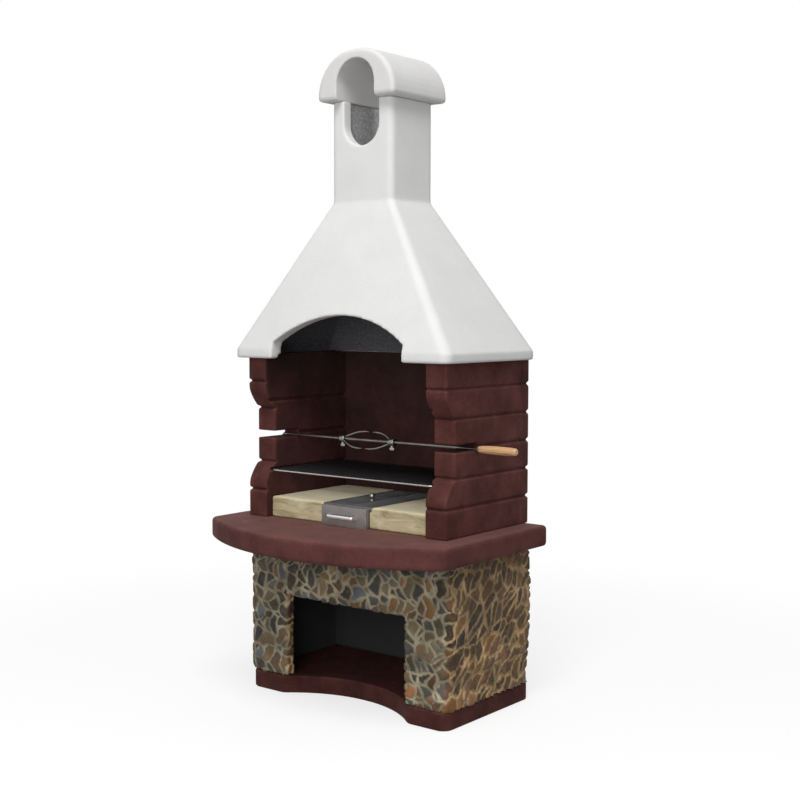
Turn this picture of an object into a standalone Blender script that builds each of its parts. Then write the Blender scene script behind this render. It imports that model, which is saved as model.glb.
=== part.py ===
"""Outdoor masonry barbecue: cast plinth and log store, bowed mantel slab, coursed firebox,
pyramid hood, flue column and barrel cap, with an ash drawer, a lift-out fire grate,
a sliding cooking grill and a hand-turned spit.

Metres, +Z up. The front faces -Y and +X is on the cook's right.
The origin is on the floor, below the middle of the firebox.
"""
import math

import bmesh
import bpy
from mathutils import Vector

# Clearances shared by all pieces
SEAT_GAP = 0.0003
CUT_OVERRUN = 0.03
ARRIS_RADIUS = 0.004

# Plinth: a slab whose front is hollowed between two feet
PLINTH_HEIGHT = 0.062
PLINTH_SIDE_INSET = 0.0005
PLINTH_LIP = 0.0075
PLINTH_CORNER_RADIUS = 0.04
RECESS_HALF_WIDTH = 0.275
RECESS_DEPTH = 0.108
RECESS_SHOULDER_RADIUS = 0.04

# Body: the rectangle that the log store and the firebox share
BODY_WIDTH = 0.865
BODY_DEPTH = 0.475

# Log store: two legs, a lintel and a back, cast with a stone face
STORE_HEIGHT = 0.481
STORE_SETBACK = 0.011
STORE_OVERHANG = 0.005
STORE_CORNER_RADIUS = 0.036
STORE_SIDE_WALL = 0.035
STORE_FRONT_WALL = 0.038
STORE_BACK_WALL = 0.035
STORE_OPENING_WIDTH = 0.524
STORE_OPENING_HEIGHT = 0.288
LINTEL_BEARING = 0.038

# Mantel slab: bowed front, square back
MANTEL_THICKNESS = 0.0724
MANTEL_WIDTH = 1.02
MANTEL_REACH = 0.2775
MANTEL_BOW = 0.17
MANTEL_CORNER_RADIUS = 0.03
MANTEL_ARRIS_RADIUS = 0.012
MANTEL_ARRIS_STEPS = 3

# Firebox: coursed side panels with a hollowed front edge, and a back panel
COURSE_COUNT = 6
COURSE_HEIGHT = 0.0951
SIDE_PANEL_THICKNESS = 0.085
BACK_PANEL_THICKNESS = 0.0497
PANEL_EDGE_RADIUS = 0.007
COURSE_GROOVE_WIDTH = 0.011
COURSE_GROOVE_DEPTH = 0.008
WAIST_DEPTH = 0.046
WAIST_LIP_HEIGHT = 0.026
WAIST_BULGE_SHARE = 0.13
WAIST_STEPS = 6
# Each groove level: height above the joint as a share of the half width, and its share of the depth
GROOVE_SECTION_SHARES = ((0.0, 1.0), (0.45, 0.92), (0.85, 0.35), (1.25, 0.0))

# Slots in the side panels: one through notch for the spit, three ledges for the grill
SPIT_NOTCH_HEIGHT = 0.026
SPIT_NOTCH_REACH = 0.176
SPIT_NOTCH_JOINT = 3
GRILL_SLOT_COUNT = 3
GRILL_SLOT_RISE = 0.1596
GRILL_SLOT_PITCH = 0.1215
GRILL_SLOT_HEIGHT = 0.012
GRILL_SLOT_DEPTH = 0.012

# Hearth: two refractory blocks with a channel between them for grate and drawer
HEARTH_HEIGHT = 0.0711
HEARTH_SETBACK = 0.0275
CHANNEL_WIDTH = 0.19
GRATE_LEDGE_WIDTH = 0.012
GRATE_THICKNESS = 0.015

# Fire grate: a cast plate with two columns of slots and a lifting knob
GRATE_SIDE_CLEARANCE = 0.0008
GRATE_END_CLEARANCE = 0.003
GRATE_RIM_WIDTH = 0.018
GRATE_SPINE_WIDTH = 0.02
GRATE_BAR_WIDTH = 0.0145
GRATE_SLOT_WIDTH = 0.009
GRATE_SLOT_CORNER_RADIUS = 0.0044
KNOB_FOOT_RADIUS = 0.0085
KNOB_FOOT_HEIGHT = 0.003
KNOB_STEM_RADIUS = 0.0042
KNOB_HEAD_RADIUS = 0.0105
KNOB_HEIGHT = 0.026
KNOB_SETBACK = 0.1335

# Ash drawer: a folded sheet tray behind a pan-shaped front with a strip handle
DRAWER_SHEET = 0.0015
DRAWER_RUNNING_GAP = 0.006
DRAWER_BACK_CLEARANCE = 0.0443
DRAWER_TRAY_HEIGHT = 0.045
DRAWER_PAN_DEPTH = 0.018
DRAWER_PAN_OVERLAP = 0.0018
DRAWER_PAN_HEIGHT = 0.067
HANDLE_WIDTH = 0.112
HANDLE_STRIP_WIDTH = 0.012
HANDLE_STRIP_THICKNESS = 0.003
HANDLE_PROJECTION = 0.024
HANDLE_BEND_RADIUS = 0.006

# Cooking grill: a bent frame wire with bars and a cross wire welded on
GRILL_BACK_CLEARANCE = 0.0328
GRILL_FRONT_SETBACK = 0.0325
GRILL_SIDE_CLEARANCE = 0.003
GRILL_FRAME_RADIUS = 0.003
GRILL_CORNER_RADIUS = 0.02
GRILL_BAR_RADIUS = 0.002
GRILL_BAR_PITCH = 0.0175
GRILL_WELD_SINK = 0.001
GRILL_BAR_OVERHANG = 0.0022
GRILL_CROSS_WIRES = 1
GRILL_CROSS_RADIUS = 0.0027

# Spit: a pointed rod, a ferrule and a turned handle
SPIT_ROD_RADIUS = 0.005
SPIT_NOTCH_SETBACK = 0.001
SPIT_TIP_LENGTH = 0.022
SPIT_TIP_RADIUS = 0.0012
SPIT_TIP_INSET = 0.0145
SPIT_PANEL_CLEARANCE = 0.0015
SPIT_TANG_LENGTH = 0.06
FERRULE_LENGTH = 0.01
FERRULE_RADIUS = 0.0095
FERRULE_CHAMFER = 0.0014
SPIT_HANDLE_LENGTH = 0.145
SPIT_HANDLE_RADIUS = 0.0138
# Turned handle: place along its length and radius, as shares of the length and the radius
SPIT_HANDLE_SHARES = ((0.0, 0.68), (0.03, 0.8), (0.1, 0.88), (0.24, 0.96), (0.45, 1.0), (0.66, 0.98),
                      (0.84, 0.94), (0.93, 0.9), (0.975, 0.78), (0.997, 0.5))

# Forks: a hub with two bowed prongs, clamped to the rod by a wing screw
FORK_SPACING = 0.219
FORK_MIDDLE = -0.0245
FORK_HUB_RADIUS = 0.0125
FORK_HUB_LENGTH = 0.026
FORK_BORE_CLEARANCE = 0.0003
FORK_HUB_CHAMFER = 0.0013
PRONG_RADIUS = 0.003
PRONG_TIP_RADIUS = 0.0008
PRONG_SPREAD = 0.034
PRONG_REACH = 0.098
PRONG_ROOT_OFFSET = 0.005
PRONG_ANGLE_DEG = 53.0
# Prong centre line: places along the reach and out from the rod, as shares of reach and spread
PRONG_PATH_SHARES = ((0.0, 0.27), (0.09, 0.31), (0.18, 0.45), (0.3, 0.63), (0.45, 0.81), (0.6, 0.93),
                     (0.76, 0.99), (0.9, 1.0), (1.0, 0.98))
SCREW_SHANK_RADIUS = 0.0025
SCREW_COLLAR_RADIUS = 0.0048
SCREW_COLLAR_HEIGHT = 0.004
SCREW_COLLAR_OFFSET = 0.0008
WING_WIDTH = 0.02
WING_HEIGHT = 0.011
WING_THICKNESS = 0.0026
WING_OFFSET = -0.0035

# Hood: a hollow pyramid with an apron band, an arch in front and a rebate over the panels
HOOD_HEIGHT = 0.5155
HOOD_SIDE_OVERHANG = 0.0305
HOOD_FRONT_OVERHANG = 0.042
HOOD_BACK_INSET = 0.0047
HOOD_SKIRT_DROP = 0.0136
HOOD_APRON_HEIGHT = 0.0298
HOOD_WALL = 0.054
HOOD_REBATE_CLEARANCE = 0.002
HOOD_RIDGE_RADIUS = 0.032
HOOD_INNER_RADIUS = 0.02
ARCH_WIDTH = 0.564
ARCH_SPRING_HEIGHT = 0.042
ARCH_RISE = 0.092

# Flue column and barrel cap
COLUMN_WIDTH = 0.2606
COLUMN_DEPTH = 0.2269
COLUMN_CENTRE_Y = -0.0228
COLUMN_HEIGHT = 0.3361
COLUMN_WALL = 0.04
COLUMN_CORNER_RADIUS = 0.02
FLUE_CORNER_RADIUS = 0.012
SMOKE_HOLE_WIDTH = 0.15
SMOKE_HOLE_SPRING_DROP = 0.0761
CAP_WIDTH = 0.329
CAP_RISE = 0.1624
CAP_SHOULDER_RADIUS = 0.148
CAP_FRONT_OVERHANG = 0.0337
CAP_BACK_OVERHANG = 0.0333
CAP_ARRIS_RADIUS = 0.012
CAP_TUNNEL_WIDTH = 0.163
CAP_TUNNEL_STILT = 0.0498

# Facets of round forms
ARC_STEPS = 12
CORNER_STEPS = 4
SMALL_CORNER_STEPS = 2
WIRE_SIDES = 6
TURNED_SIDES = 16
SMOOTH_ANGLE = math.radians(35)

# Levels and faces that follow from the sizes above
STORE_TOP = PLINTH_HEIGHT + STORE_HEIGHT
MANTEL_TOP = STORE_TOP + MANTEL_THICKNESS
PANEL_TOP = MANTEL_TOP + COURSE_COUNT * COURSE_HEIGHT
NECK_TOP = PANEL_TOP + HOOD_HEIGHT
COLUMN_TOP = NECK_TOP + COLUMN_HEIGHT
HALF_BODY = BODY_WIDTH / 2
FRONT_Y = -BODY_DEPTH / 2
BACK_Y = BODY_DEPTH / 2
PANEL_INNER_X = HALF_BODY - SIDE_PANEL_THICKNESS
BACK_PANEL_Y = BACK_Y - BACK_PANEL_THICKNESS
STORE_FRONT_Y = FRONT_Y + STORE_SETBACK
HALF_STORE = HALF_BODY + STORE_OVERHANG
HEARTH_TOP = MANTEL_TOP + HEARTH_HEIGHT
HEARTH_FRONT_Y = FRONT_Y + HEARTH_SETBACK
HALF_CHANNEL = CHANNEL_WIDTH / 2
DRAWER_Y = HEARTH_FRONT_Y - DRAWER_PAN_DEPTH + DRAWER_SHEET
DRAWER_LENGTH = BACK_PANEL_Y - DRAWER_BACK_CLEARANCE - DRAWER_Y
GRILL_Y = FRONT_Y + GRILL_FRONT_SETBACK
GRILL_DEPTH = BACK_PANEL_Y - GRILL_BACK_CLEARANCE - GRILL_Y
SPIT_Y = FRONT_Y + SPIT_NOTCH_REACH - SPIT_NOTCH_HEIGHT / 2 - SPIT_NOTCH_SETBACK
SPIT_Z = (MANTEL_TOP + SPIT_NOTCH_JOINT * COURSE_HEIGHT - SPIT_NOTCH_HEIGHT / 2
          + SPIT_ROD_RADIUS + SEAT_GAP)
HOOD_FRONT_Y = FRONT_Y - HOOD_FRONT_OVERHANG
HOOD_BACK_Y = BACK_Y - HOOD_BACK_INSET
HALF_HOOD = HALF_BODY + HOOD_SIDE_OVERHANG
HALF_FLUE_X = COLUMN_WIDTH / 2 - COLUMN_WALL
HALF_FLUE_Y = COLUMN_DEPTH / 2 - COLUMN_WALL


def clear_scene():
    for old in list(bpy.data.objects):
        bpy.data.objects.remove(old, do_unlink=True)


def finish(name, red, green, blue, roughness, metallic=0.0):
    """A Principled material of one linear colour."""
    material = bpy.data.materials.new(name)
    material.use_nodes = True
    shader = material.node_tree.nodes["Principled BSDF"]
    shader.inputs["Base Color"].default_value = (red, green, blue, 1.0)
    shader.inputs["Roughness"].default_value = roughness
    shader.inputs["Metallic"].default_value = metallic
    return material


def pivot(name, place, parent=None):
    """An empty that carries the pieces of one moving body."""
    empty = bpy.data.objects.new(name, None)
    bpy.context.scene.collection.objects.link(empty)
    empty.location = place
    empty.parent = parent
    return empty


def piece(name, mesh, material, carrier=None, smooth=False):
    """One named sub-part made of one mesh and one material."""
    thing = bpy.data.objects.new(name, mesh)
    bpy.context.scene.collection.objects.link(thing)
    thing.parent = carrier
    mesh.materials.append(material)
    if smooth:
        mesh.shade_smooth()
        mesh.set_sharp_from_angle(angle=SMOOTH_ANGLE)
    return thing


def combine(target, mesh, operation, label):
    """Cut a mesh out of a piece, or weld it on, with a live Boolean."""
    tool = bpy.data.objects.new(f"{target.name}_{label}", mesh)
    bpy.context.scene.collection.objects.link(tool)
    tool.parent = target
    tool.hide_render = True
    tool.display_type = "WIRE"
    modifier = target.modifiers.new(label, "BOOLEAN")
    modifier.solver = "EXACT"
    modifier.operation = operation
    modifier.object = tool


def soften(thing, radius, steps=SMALL_CORNER_STEPS):
    """Round the cast arrises of a piece."""
    modifier = thing.modifiers.new("arris", "BEVEL")
    modifier.width = radius
    modifier.segments = steps
    modifier.limit_method = "ANGLE"
    modifier.angle_limit = SMOOTH_ANGLE


def mesh_from(builder, name):
    """Close, face outwards and store what was built in a bmesh."""
    bmesh.ops.recalc_face_normals(builder, faces=builder.faces)
    mesh = bpy.data.meshes.new(name)
    builder.to_mesh(mesh)
    builder.free()
    return mesh


def arc(centre, radius, start_deg, end_deg, steps):
    """Points on a circle in a plane, both ends included."""
    points = []
    for step in range(steps + 1):
        angle = math.radians(start_deg + (end_deg - start_deg) * step / steps)
        points.append((centre[0] + radius * math.cos(angle), centre[1] + radius * math.sin(angle)))
    return points


def angle_of(centre, point):
    return math.degrees(math.atan2(point[1] - centre[1], point[0] - centre[0]))


def rectangle(low, high):
    return [(low[0], low[1]), (high[0], low[1]), (high[0], high[1]), (low[0], high[1])]


def rounded_rectangle(low, high, radius, steps=CORNER_STEPS):
    """A rectangle with round corners, anticlockwise from its lower left corner."""
    centres = rectangle((low[0] + radius, low[1] + radius), (high[0] - radius, high[1] - radius))
    points = []
    for turn, centre in zip((180, 270, 360, 450), centres):
        points += arc(centre, radius, turn, turn + 90, steps)
    return points


def mirrored(outline):
    """The same outline on the other side of the middle plane."""
    return [(-x, y) for x, y in reversed(outline)]


def prism(outline, axis, start, end, name="prism"):
    """Extrude an outline along X, Y or Z."""
    places = {"X": lambda u, v: (start, u, v), "Y": lambda u, v: (u, start, v), "Z": lambda u, v: (u, v, start)}
    travel = {"X": (end - start, 0, 0), "Y": (0, end - start, 0), "Z": (0, 0, end - start)}
    builder = bmesh.new()
    base = builder.faces.new([builder.verts.new(places[axis](u, v)) for u, v in outline])
    grown = bmesh.ops.extrude_face_region(builder, geom=[base])
    moved = [item for item in grown["geom"] if isinstance(item, bmesh.types.BMVert)]
    bmesh.ops.translate(builder, verts=moved, vec=travel[axis])
    return mesh_from(builder, name)


def skin(rings, name="skin", closed=False):
    """Join rings of points that have the same count; the ends are filled unless the run is closed."""
    builder = bmesh.new()
    loops = [[builder.verts.new(point) for point in ring] for ring in rings]
    pairs = list(zip(loops, loops[1:]))
    if closed:
        pairs.append((loops[-1], loops[0]))
    for lower, upper in pairs:
        for index in range(len(lower)):
            after = (index + 1) % len(lower)
            builder.faces.new((lower[index], lower[after], upper[after], upper[index]))
    if not closed:
        builder.faces.new(loops[0])
        builder.faces.new(loops[-1])
    return mesh_from(builder, name)


def turned(profile, axis, steps=TURNED_SIDES, name="turned"):
    """Spin a profile of (place along the axis, radius) once round X or Z."""
    builder = bmesh.new()
    along = Vector((1, 0, 0)) if axis == "X" else Vector((0, 0, 1))
    outward = Vector((0, 0, 1)) if axis == "X" else Vector((1, 0, 0))
    points = [builder.verts.new(along * place + outward * radius) for place, radius in profile]
    edges = [builder.edges.new(pair) for pair in zip(points, points[1:])]
    if profile[0][1] > 0:
        edges.append(builder.edges.new((points[-1], points[0])))
    bmesh.ops.spin(builder, geom=points + edges, cent=(0, 0, 0), axis=along, angle=math.tau,
                   steps=steps, use_merge=True)
    bmesh.ops.remove_doubles(builder, verts=builder.verts, dist=SEAT_GAP / TURNED_SIDES)
    return mesh_from(builder, name)


def wire(path, radii, sides=WIRE_SIDES, closed=False, name="wire"):
    """Sweep a circle along a path that lies in one plane, with a radius for each point."""
    points = [Vector(point) for point in path]
    if closed:
        flow = [points[(i + 1) % len(points)] - points[i - 1] for i in range(len(points))]
    else:
        flow = [points[min(i + 1, len(points) - 1)] - points[max(i - 1, 0)] for i in range(len(points))]
    across = flow[0].cross(points[len(points) // 2] - points[0])
    if across.length < SEAT_GAP * SEAT_GAP:
        across = flow[0].orthogonal()
    across.normalize()
    rings = []
    for point, direction, radius in zip(points, flow, radii):
        side = direction.normalized().cross(across).normalized()
        turns = [math.tau * (index + 0.5) / sides for index in range(sides)]
        rings.append([point + (across * math.cos(turn) + side * math.sin(turn)) * radius for turn in turns])
    return skin(rings, name, closed)


def bow_radius(half_width, rise):
    """Radius of the arc that spans twice the half width with this rise."""
    return (half_width * half_width + rise * rise) / (2 * rise)


def plinth_outline():
    """Half of the front: corner, foot, round shoulder and half the hollow; then mirrored."""
    half = HALF_BODY - PLINTH_SIDE_INSET
    front = STORE_FRONT_Y - PLINTH_LIP
    hollow_radius = bow_radius(RECESS_HALF_WIDTH, RECESS_DEPTH)
    hollow_centre = (0, front + RECESS_DEPTH - hollow_radius)
    reach = hollow_radius + RECESS_SHOULDER_RADIUS
    rise = front + RECESS_SHOULDER_RADIUS - hollow_centre[1]
    shoulder = (math.sqrt(reach * reach - rise * rise), front + RECESS_SHOULDER_RADIUS)
    touch = angle_of(hollow_centre, shoulder)
    corner = (half - PLINTH_CORNER_RADIUS, front + PLINTH_CORNER_RADIUS)
    right = arc(hollow_centre, hollow_radius, 90, touch, ARC_STEPS)[1:]
    right += arc(shoulder, RECESS_SHOULDER_RADIUS, touch + 180, 270, CORNER_STEPS)[1:]
    right += arc(corner, PLINTH_CORNER_RADIUS, 270, 360, 2 * CORNER_STEPS)
    right.append((half, BACK_Y))
    middle = [(0, hollow_centre[1] + hollow_radius)]
    return middle + right + mirrored(right)


def build_plinth(carrier):
    mesh = prism(plinth_outline(), "Z", 0, PLINTH_HEIGHT, "plinth")
    slab = piece("plinth", mesh, finish("cast_red_plinth", 0.075, 0.028, 0.024, 0.85), carrier)
    soften(slab, ARRIS_RADIUS)


def build_store_leg(name, side, carrier):
    """An L in plan: side wall and front return, with a ledge for the lintel cut in its top."""
    front, inner = STORE_FRONT_Y, STORE_FRONT_Y + STORE_FRONT_WALL
    back = BACK_Y - STORE_BACK_WALL - SEAT_GAP
    jamb = STORE_OPENING_WIDTH / 2
    corner = (HALF_STORE - STORE_CORNER_RADIUS, front + STORE_CORNER_RADIUS)
    outline = [(jamb, front)]
    outline += arc(corner, STORE_CORNER_RADIUS, 270, 360, 2 * CORNER_STEPS)
    outline += [(HALF_STORE, back), (HALF_STORE - STORE_SIDE_WALL, back)]
    outline += [(HALF_STORE - STORE_SIDE_WALL, inner), (jamb, inner)]
    ledge = rectangle((jamb - CUT_OVERRUN, front - CUT_OVERRUN),
                      (jamb + LINTEL_BEARING + SEAT_GAP, inner + CUT_OVERRUN))
    if side < 0:
        outline, ledge = mirrored(outline), mirrored(ledge)
    mesh = prism(outline, "Z", PLINTH_HEIGHT + SEAT_GAP, STORE_TOP, name)
    leg = piece(name, mesh, finish(f"stone_face_{name}", 0.13, 0.115, 0.09, 0.9), carrier)
    soften(leg, ARRIS_RADIUS)
    cutter = prism(ledge, "Z", PLINTH_HEIGHT + STORE_OPENING_HEIGHT, STORE_TOP + CUT_OVERRUN)
    combine(leg, cutter, "DIFFERENCE", "lintel_ledge")


def build_store_lintel(carrier):
    reach = STORE_OPENING_WIDTH / 2 + LINTEL_BEARING
    bottom = PLINTH_HEIGHT + STORE_OPENING_HEIGHT + SEAT_GAP
    outline = rectangle((-reach, STORE_FRONT_Y), (reach, STORE_FRONT_Y + STORE_FRONT_WALL))
    mesh = prism(outline, "Z", bottom, STORE_TOP, "store_lintel")
    lintel = piece("store_lintel", mesh, finish("stone_face_lintel", 0.13, 0.115, 0.09, 0.9), carrier)
    soften(lintel, ARRIS_RADIUS)


def build_store_back(carrier):
    outline = rectangle((-HALF_STORE, BACK_Y - STORE_BACK_WALL), (HALF_STORE, BACK_Y))
    mesh = prism(outline, "Z", PLINTH_HEIGHT + SEAT_GAP, STORE_TOP, "store_back")
    wall = piece("store_back", mesh, finish("stone_face_back", 0.13, 0.115, 0.09, 0.9), carrier)
    soften(wall, ARRIS_RADIUS)


def mantel_outline():
    """Square back, round front corners and one shallow arc between them."""
    half = MANTEL_WIDTH / 2
    radius = bow_radius(half, MANTEL_BOW)
    centre = (0, FRONT_Y - MANTEL_REACH + radius)
    inside = half - MANTEL_CORNER_RADIUS
    reach = radius - MANTEL_CORNER_RADIUS
    corner = (inside, centre[1] - math.sqrt(reach * reach - inside * inside))
    touch = angle_of(centre, corner) + 360
    right = arc(centre, radius, 270, touch, 2 * ARC_STEPS)[1:]
    right += arc(corner, MANTEL_CORNER_RADIUS, touch, 360, CORNER_STEPS)[1:]
    right.append((half, BACK_Y))
    return [(0, centre[1] - radius)] + right + mirrored(right)


def build_mantel(carrier):
    mesh = prism(mantel_outline(), "Z", STORE_TOP + SEAT_GAP, MANTEL_TOP, "mantel_slab")
    slab = piece("mantel_slab", mesh, finish("cast_red_mantel", 0.16, 0.08, 0.072, 0.8), carrier)
    soften(slab, MANTEL_ARRIS_RADIUS, MANTEL_ARRIS_STEPS)


def waist_at(course, share):
    """How far the front edge stands back, at a share of the height of one course."""
    lip = WAIST_LIP_HEIGHT / COURSE_HEIGHT
    first, last = 1, COURSE_COUNT - 2
    if first < course < last:
        return WAIST_DEPTH
    if course not in (first, last):
        return 0
    rise = share if course == first else 1 - share
    travel = max(0, (rise - lip) / (1 - lip))
    return WAIST_DEPTH * (travel - WAIST_BULGE_SHARE * 4 * travel * (1 - travel))


def course_levels(waisted):
    """Levels from bottom to top of a coursed panel: height, groove depth and waist depth."""
    levels = []
    for course in range(COURSE_COUNT):
        low = [(share * COURSE_GROOVE_WIDTH / 2, depth * COURSE_GROOVE_DEPTH) for share, depth in
               GROOVE_SECTION_SHARES]
        high = [(COURSE_HEIGHT - rise, depth) for rise, depth in reversed(low)]
        if course == 0:
            low = [(0, 0)]
        if course == COURSE_COUNT - 1:
            high = [(COURSE_HEIGHT, 0)]
        middle = []
        if waisted and course in (1, COURSE_COUNT - 2):
            span = high[0][0] - low[-1][0]
            middle = [(low[-1][0] + span * step / WAIST_STEPS, 0) for step in range(1, WAIST_STEPS)]
        steps = low + middle + high
        if course > 0:
            steps = steps[1:]
        for rise, depth in steps:
            levels.append((MANTEL_TOP + course * COURSE_HEIGHT + rise, depth,
                           waist_at(course, rise / COURSE_HEIGHT)))
    levels[0] = (MANTEL_TOP + SEAT_GAP, 0, 0)
    return levels


def side_panel_ring(height, groove, waist, side):
    """Plan of a side panel at one level: grooves run round its outer and front faces."""
    inner, outer = PANEL_INNER_X, HALF_BODY - groove
    front, back = FRONT_Y + waist + groove, BACK_PANEL_Y - SEAT_GAP
    radius = PANEL_EDGE_RADIUS
    plan = [(inner, back)]
    plan += arc((inner + radius, front + radius), radius, 180, 270, SMALL_CORNER_STEPS)
    plan += arc((outer - radius, front + radius), radius, 270, 360, SMALL_CORNER_STEPS)
    plan.append((outer, back))
    return [(side * x, y, height) for x, y in plan]


def spit_notch_outline():
    """A slot open at the front of the panel, with a round end, seen from the side."""
    middle = MANTEL_TOP + SPIT_NOTCH_JOINT * COURSE_HEIGHT
    radius = SPIT_NOTCH_HEIGHT / 2
    end = arc((FRONT_Y + SPIT_NOTCH_REACH - radius, middle), radius, -90, 90, 2 * CORNER_STEPS)
    return [(FRONT_Y - CUT_OVERRUN, middle - radius)] + end + [(FRONT_Y - CUT_OVERRUN, middle + radius)]


def build_side_panel(name, side, carrier):
    rings = [side_panel_ring(height, groove, waist, side) for height, groove, waist in course_levels(True)]
    material = finish(f"cast_brown_{name}", 0.055, 0.024, 0.021, 0.85)
    panel = piece(name, skin(rings, name), material, carrier)
    notch = prism(spit_notch_outline(), "X", side * (PANEL_INNER_X - CUT_OVERRUN), side * (HALF_BODY + CUT_OVERRUN))
    combine(panel, notch, "DIFFERENCE", "spit_notch")
    for index in range(GRILL_SLOT_COUNT):
        floor = MANTEL_TOP + GRILL_SLOT_RISE + index * GRILL_SLOT_PITCH
        run = rectangle((side * (PANEL_INNER_X - CUT_OVERRUN), floor),
                        (side * (PANEL_INNER_X + GRILL_SLOT_DEPTH), floor + GRILL_SLOT_HEIGHT))
        slot = prism(run, "Y", FRONT_Y - CUT_OVERRUN, BACK_PANEL_Y + CUT_OVERRUN)
        combine(panel, slot, "DIFFERENCE", f"grill_slot_{index + 1}")


def back_panel_ring(height, groove):
    """Plan of the back panel at one level: grooves run round its ends and its rear face."""
    outer, rear, radius = HALF_BODY - groove, BACK_Y - groove, PANEL_EDGE_RADIUS
    plan = [(-outer, BACK_PANEL_Y), (outer, BACK_PANEL_Y)]
    plan += arc((outer - radius, rear - radius), radius, 0, 90, SMALL_CORNER_STEPS)
    plan += arc((radius - outer, rear - radius), radius, 90, 180, SMALL_CORNER_STEPS)
    return [(x, y, height) for x, y in plan]


def build_back_panel(carrier):
    rings = [back_panel_ring(height, groove) for height, groove, _ in course_levels(False)]
    piece("back_panel", skin(rings, "back_panel"), finish("cast_brown_back", 0.04, 0.018, 0.016, 0.88), carrier)


def build_hearth_block(name, side, carrier):
    """A refractory block with a ledge for the fire grate cut along the channel."""
    inner, outer = HALF_CHANNEL, PANEL_INNER_X - SEAT_GAP
    section = rectangle((inner, MANTEL_TOP + SEAT_GAP), (outer, HEARTH_TOP))
    ledge = rectangle((inner - CUT_OVERRUN, HEARTH_TOP - GRATE_THICKNESS - SEAT_GAP),
                      (inner + GRATE_LEDGE_WIDTH, HEARTH_TOP + CUT_OVERRUN))
    if side < 0:
        section, ledge = mirrored(section), mirrored(ledge)
    mesh = prism(section, "Y", HEARTH_FRONT_Y, BACK_PANEL_Y - SEAT_GAP, name)
    block = piece(name, mesh, finish(f"firebrick_{name}", 0.45, 0.39, 0.27, 0.9), carrier)
    soften(block, ARRIS_RADIUS, 1)
    cutter = prism(ledge, "Y", HEARTH_FRONT_Y - CUT_OVERRUN, BACK_PANEL_Y + CUT_OVERRUN)
    combine(block, cutter, "DIFFERENCE", "grate_ledge")


def build_fire_grate(carrier, origin):
    """A plate with slots across it; sizes are local to its own pivot."""
    half = HALF_CHANNEL + GRATE_LEDGE_WIDTH - GRATE_SIDE_CLEARANCE
    front = HEARTH_FRONT_Y + GRATE_END_CLEARANCE - origin[1]
    back = BACK_PANEL_Y - SEAT_GAP - GRATE_END_CLEARANCE - origin[1]
    plate = prism(rectangle((-half, front), (half, back)), "Z", 0, GRATE_THICKNESS, "fire_grate")
    grate = piece("fire_grate", plate, finish("cast_iron_grate", 0.03, 0.032, 0.036, 0.6, 0.6), carrier)
    pitch = GRATE_BAR_WIDTH + GRATE_SLOT_WIDTH
    span = back - front - 2 * GRATE_RIM_WIDTH
    count = int((span + GRATE_BAR_WIDTH) / pitch)
    first = front + (back - front - count * pitch + GRATE_BAR_WIDTH) / 2
    radius = GRATE_SLOT_WIDTH / 2
    builder = bmesh.new()
    for row in range(count):
        low_y = first + row * pitch
        if low_y < KNOB_SETBACK + HEARTH_FRONT_Y - origin[1] + KNOB_FOOT_RADIUS and \
                low_y + GRATE_SLOT_WIDTH > KNOB_SETBACK + HEARTH_FRONT_Y - origin[1] - KNOB_FOOT_RADIUS:
            near = KNOB_FOOT_RADIUS + radius
        else:
            near = GRATE_SPINE_WIDTH / 2
        for side in (-1, 1):
            ends = sorted((side * near, side * (half - GRATE_RIM_WIDTH)))
            outline = rounded_rectangle((ends[0], low_y), (ends[1], low_y + GRATE_SLOT_WIDTH),
                                        GRATE_SLOT_CORNER_RADIUS, SMALL_CORNER_STEPS)
            low = [builder.verts.new((x, y, -CUT_OVERRUN)) for x, y in outline]
            face = builder.faces.new(low)
            grown = bmesh.ops.extrude_face_region(builder, geom=[face])
            moved = [item for item in grown["geom"] if isinstance(item, bmesh.types.BMVert)]
            bmesh.ops.translate(builder, verts=moved, vec=(0, 0, GRATE_THICKNESS + 2 * CUT_OVERRUN))
    combine(grate, mesh_from(builder, "grate_slots"), "DIFFERENCE", "slots")


def build_grate_knob(carrier, origin):
    """A small turned knob that stands on the grate."""
    low, top = GRATE_THICKNESS + SEAT_GAP, GRATE_THICKNESS + SEAT_GAP + KNOB_HEIGHT
    centre = top - KNOB_HEAD_RADIUS
    profile = [(low, 0), (low, KNOB_FOOT_RADIUS), (low + KNOB_FOOT_HEIGHT, KNOB_FOOT_RADIUS),
               (low + KNOB_FOOT_HEIGHT, KNOB_STEM_RADIUS)]
    start = -math.degrees(math.acos(KNOB_STEM_RADIUS / KNOB_HEAD_RADIUS))
    for radius, height in arc((0, centre), KNOB_HEAD_RADIUS, start, 90, 2 * CORNER_STEPS)[:-1]:
        profile.append((height, radius))
    profile.append((top, 0))
    mesh = turned(profile, "Z", name="grate_knob")
    knob = piece("grate_knob", mesh, finish("bright_steel_knob", 0.55, 0.55, 0.56, 0.35, 1.0), carrier, True)
    knob.location = (0, HEARTH_FRONT_Y + KNOB_SETBACK - origin[1], 0)


def build_drawer_tray(carrier):
    """An open tray, local to the drawer's pivot at the front plate's rear face."""
    half = HALF_CHANNEL - DRAWER_RUNNING_GAP
    sheet = DRAWER_SHEET
    outer = prism(rectangle((-half, SEAT_GAP), (half, DRAWER_LENGTH)), "Z", SEAT_GAP, DRAWER_TRAY_HEIGHT,
                  "ash_drawer_tray")
    tray = piece("ash_drawer_tray", outer, finish("steel_sheet_tray", 0.2, 0.2, 0.21, 0.5, 0.9), carrier)
    hollow = prism(rectangle((sheet - half, SEAT_GAP + sheet), (half - sheet, DRAWER_LENGTH - sheet)), "Z",
                   SEAT_GAP + sheet, DRAWER_TRAY_HEIGHT + CUT_OVERRUN)
    combine(tray, hollow, "DIFFERENCE", "hollow")


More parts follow.
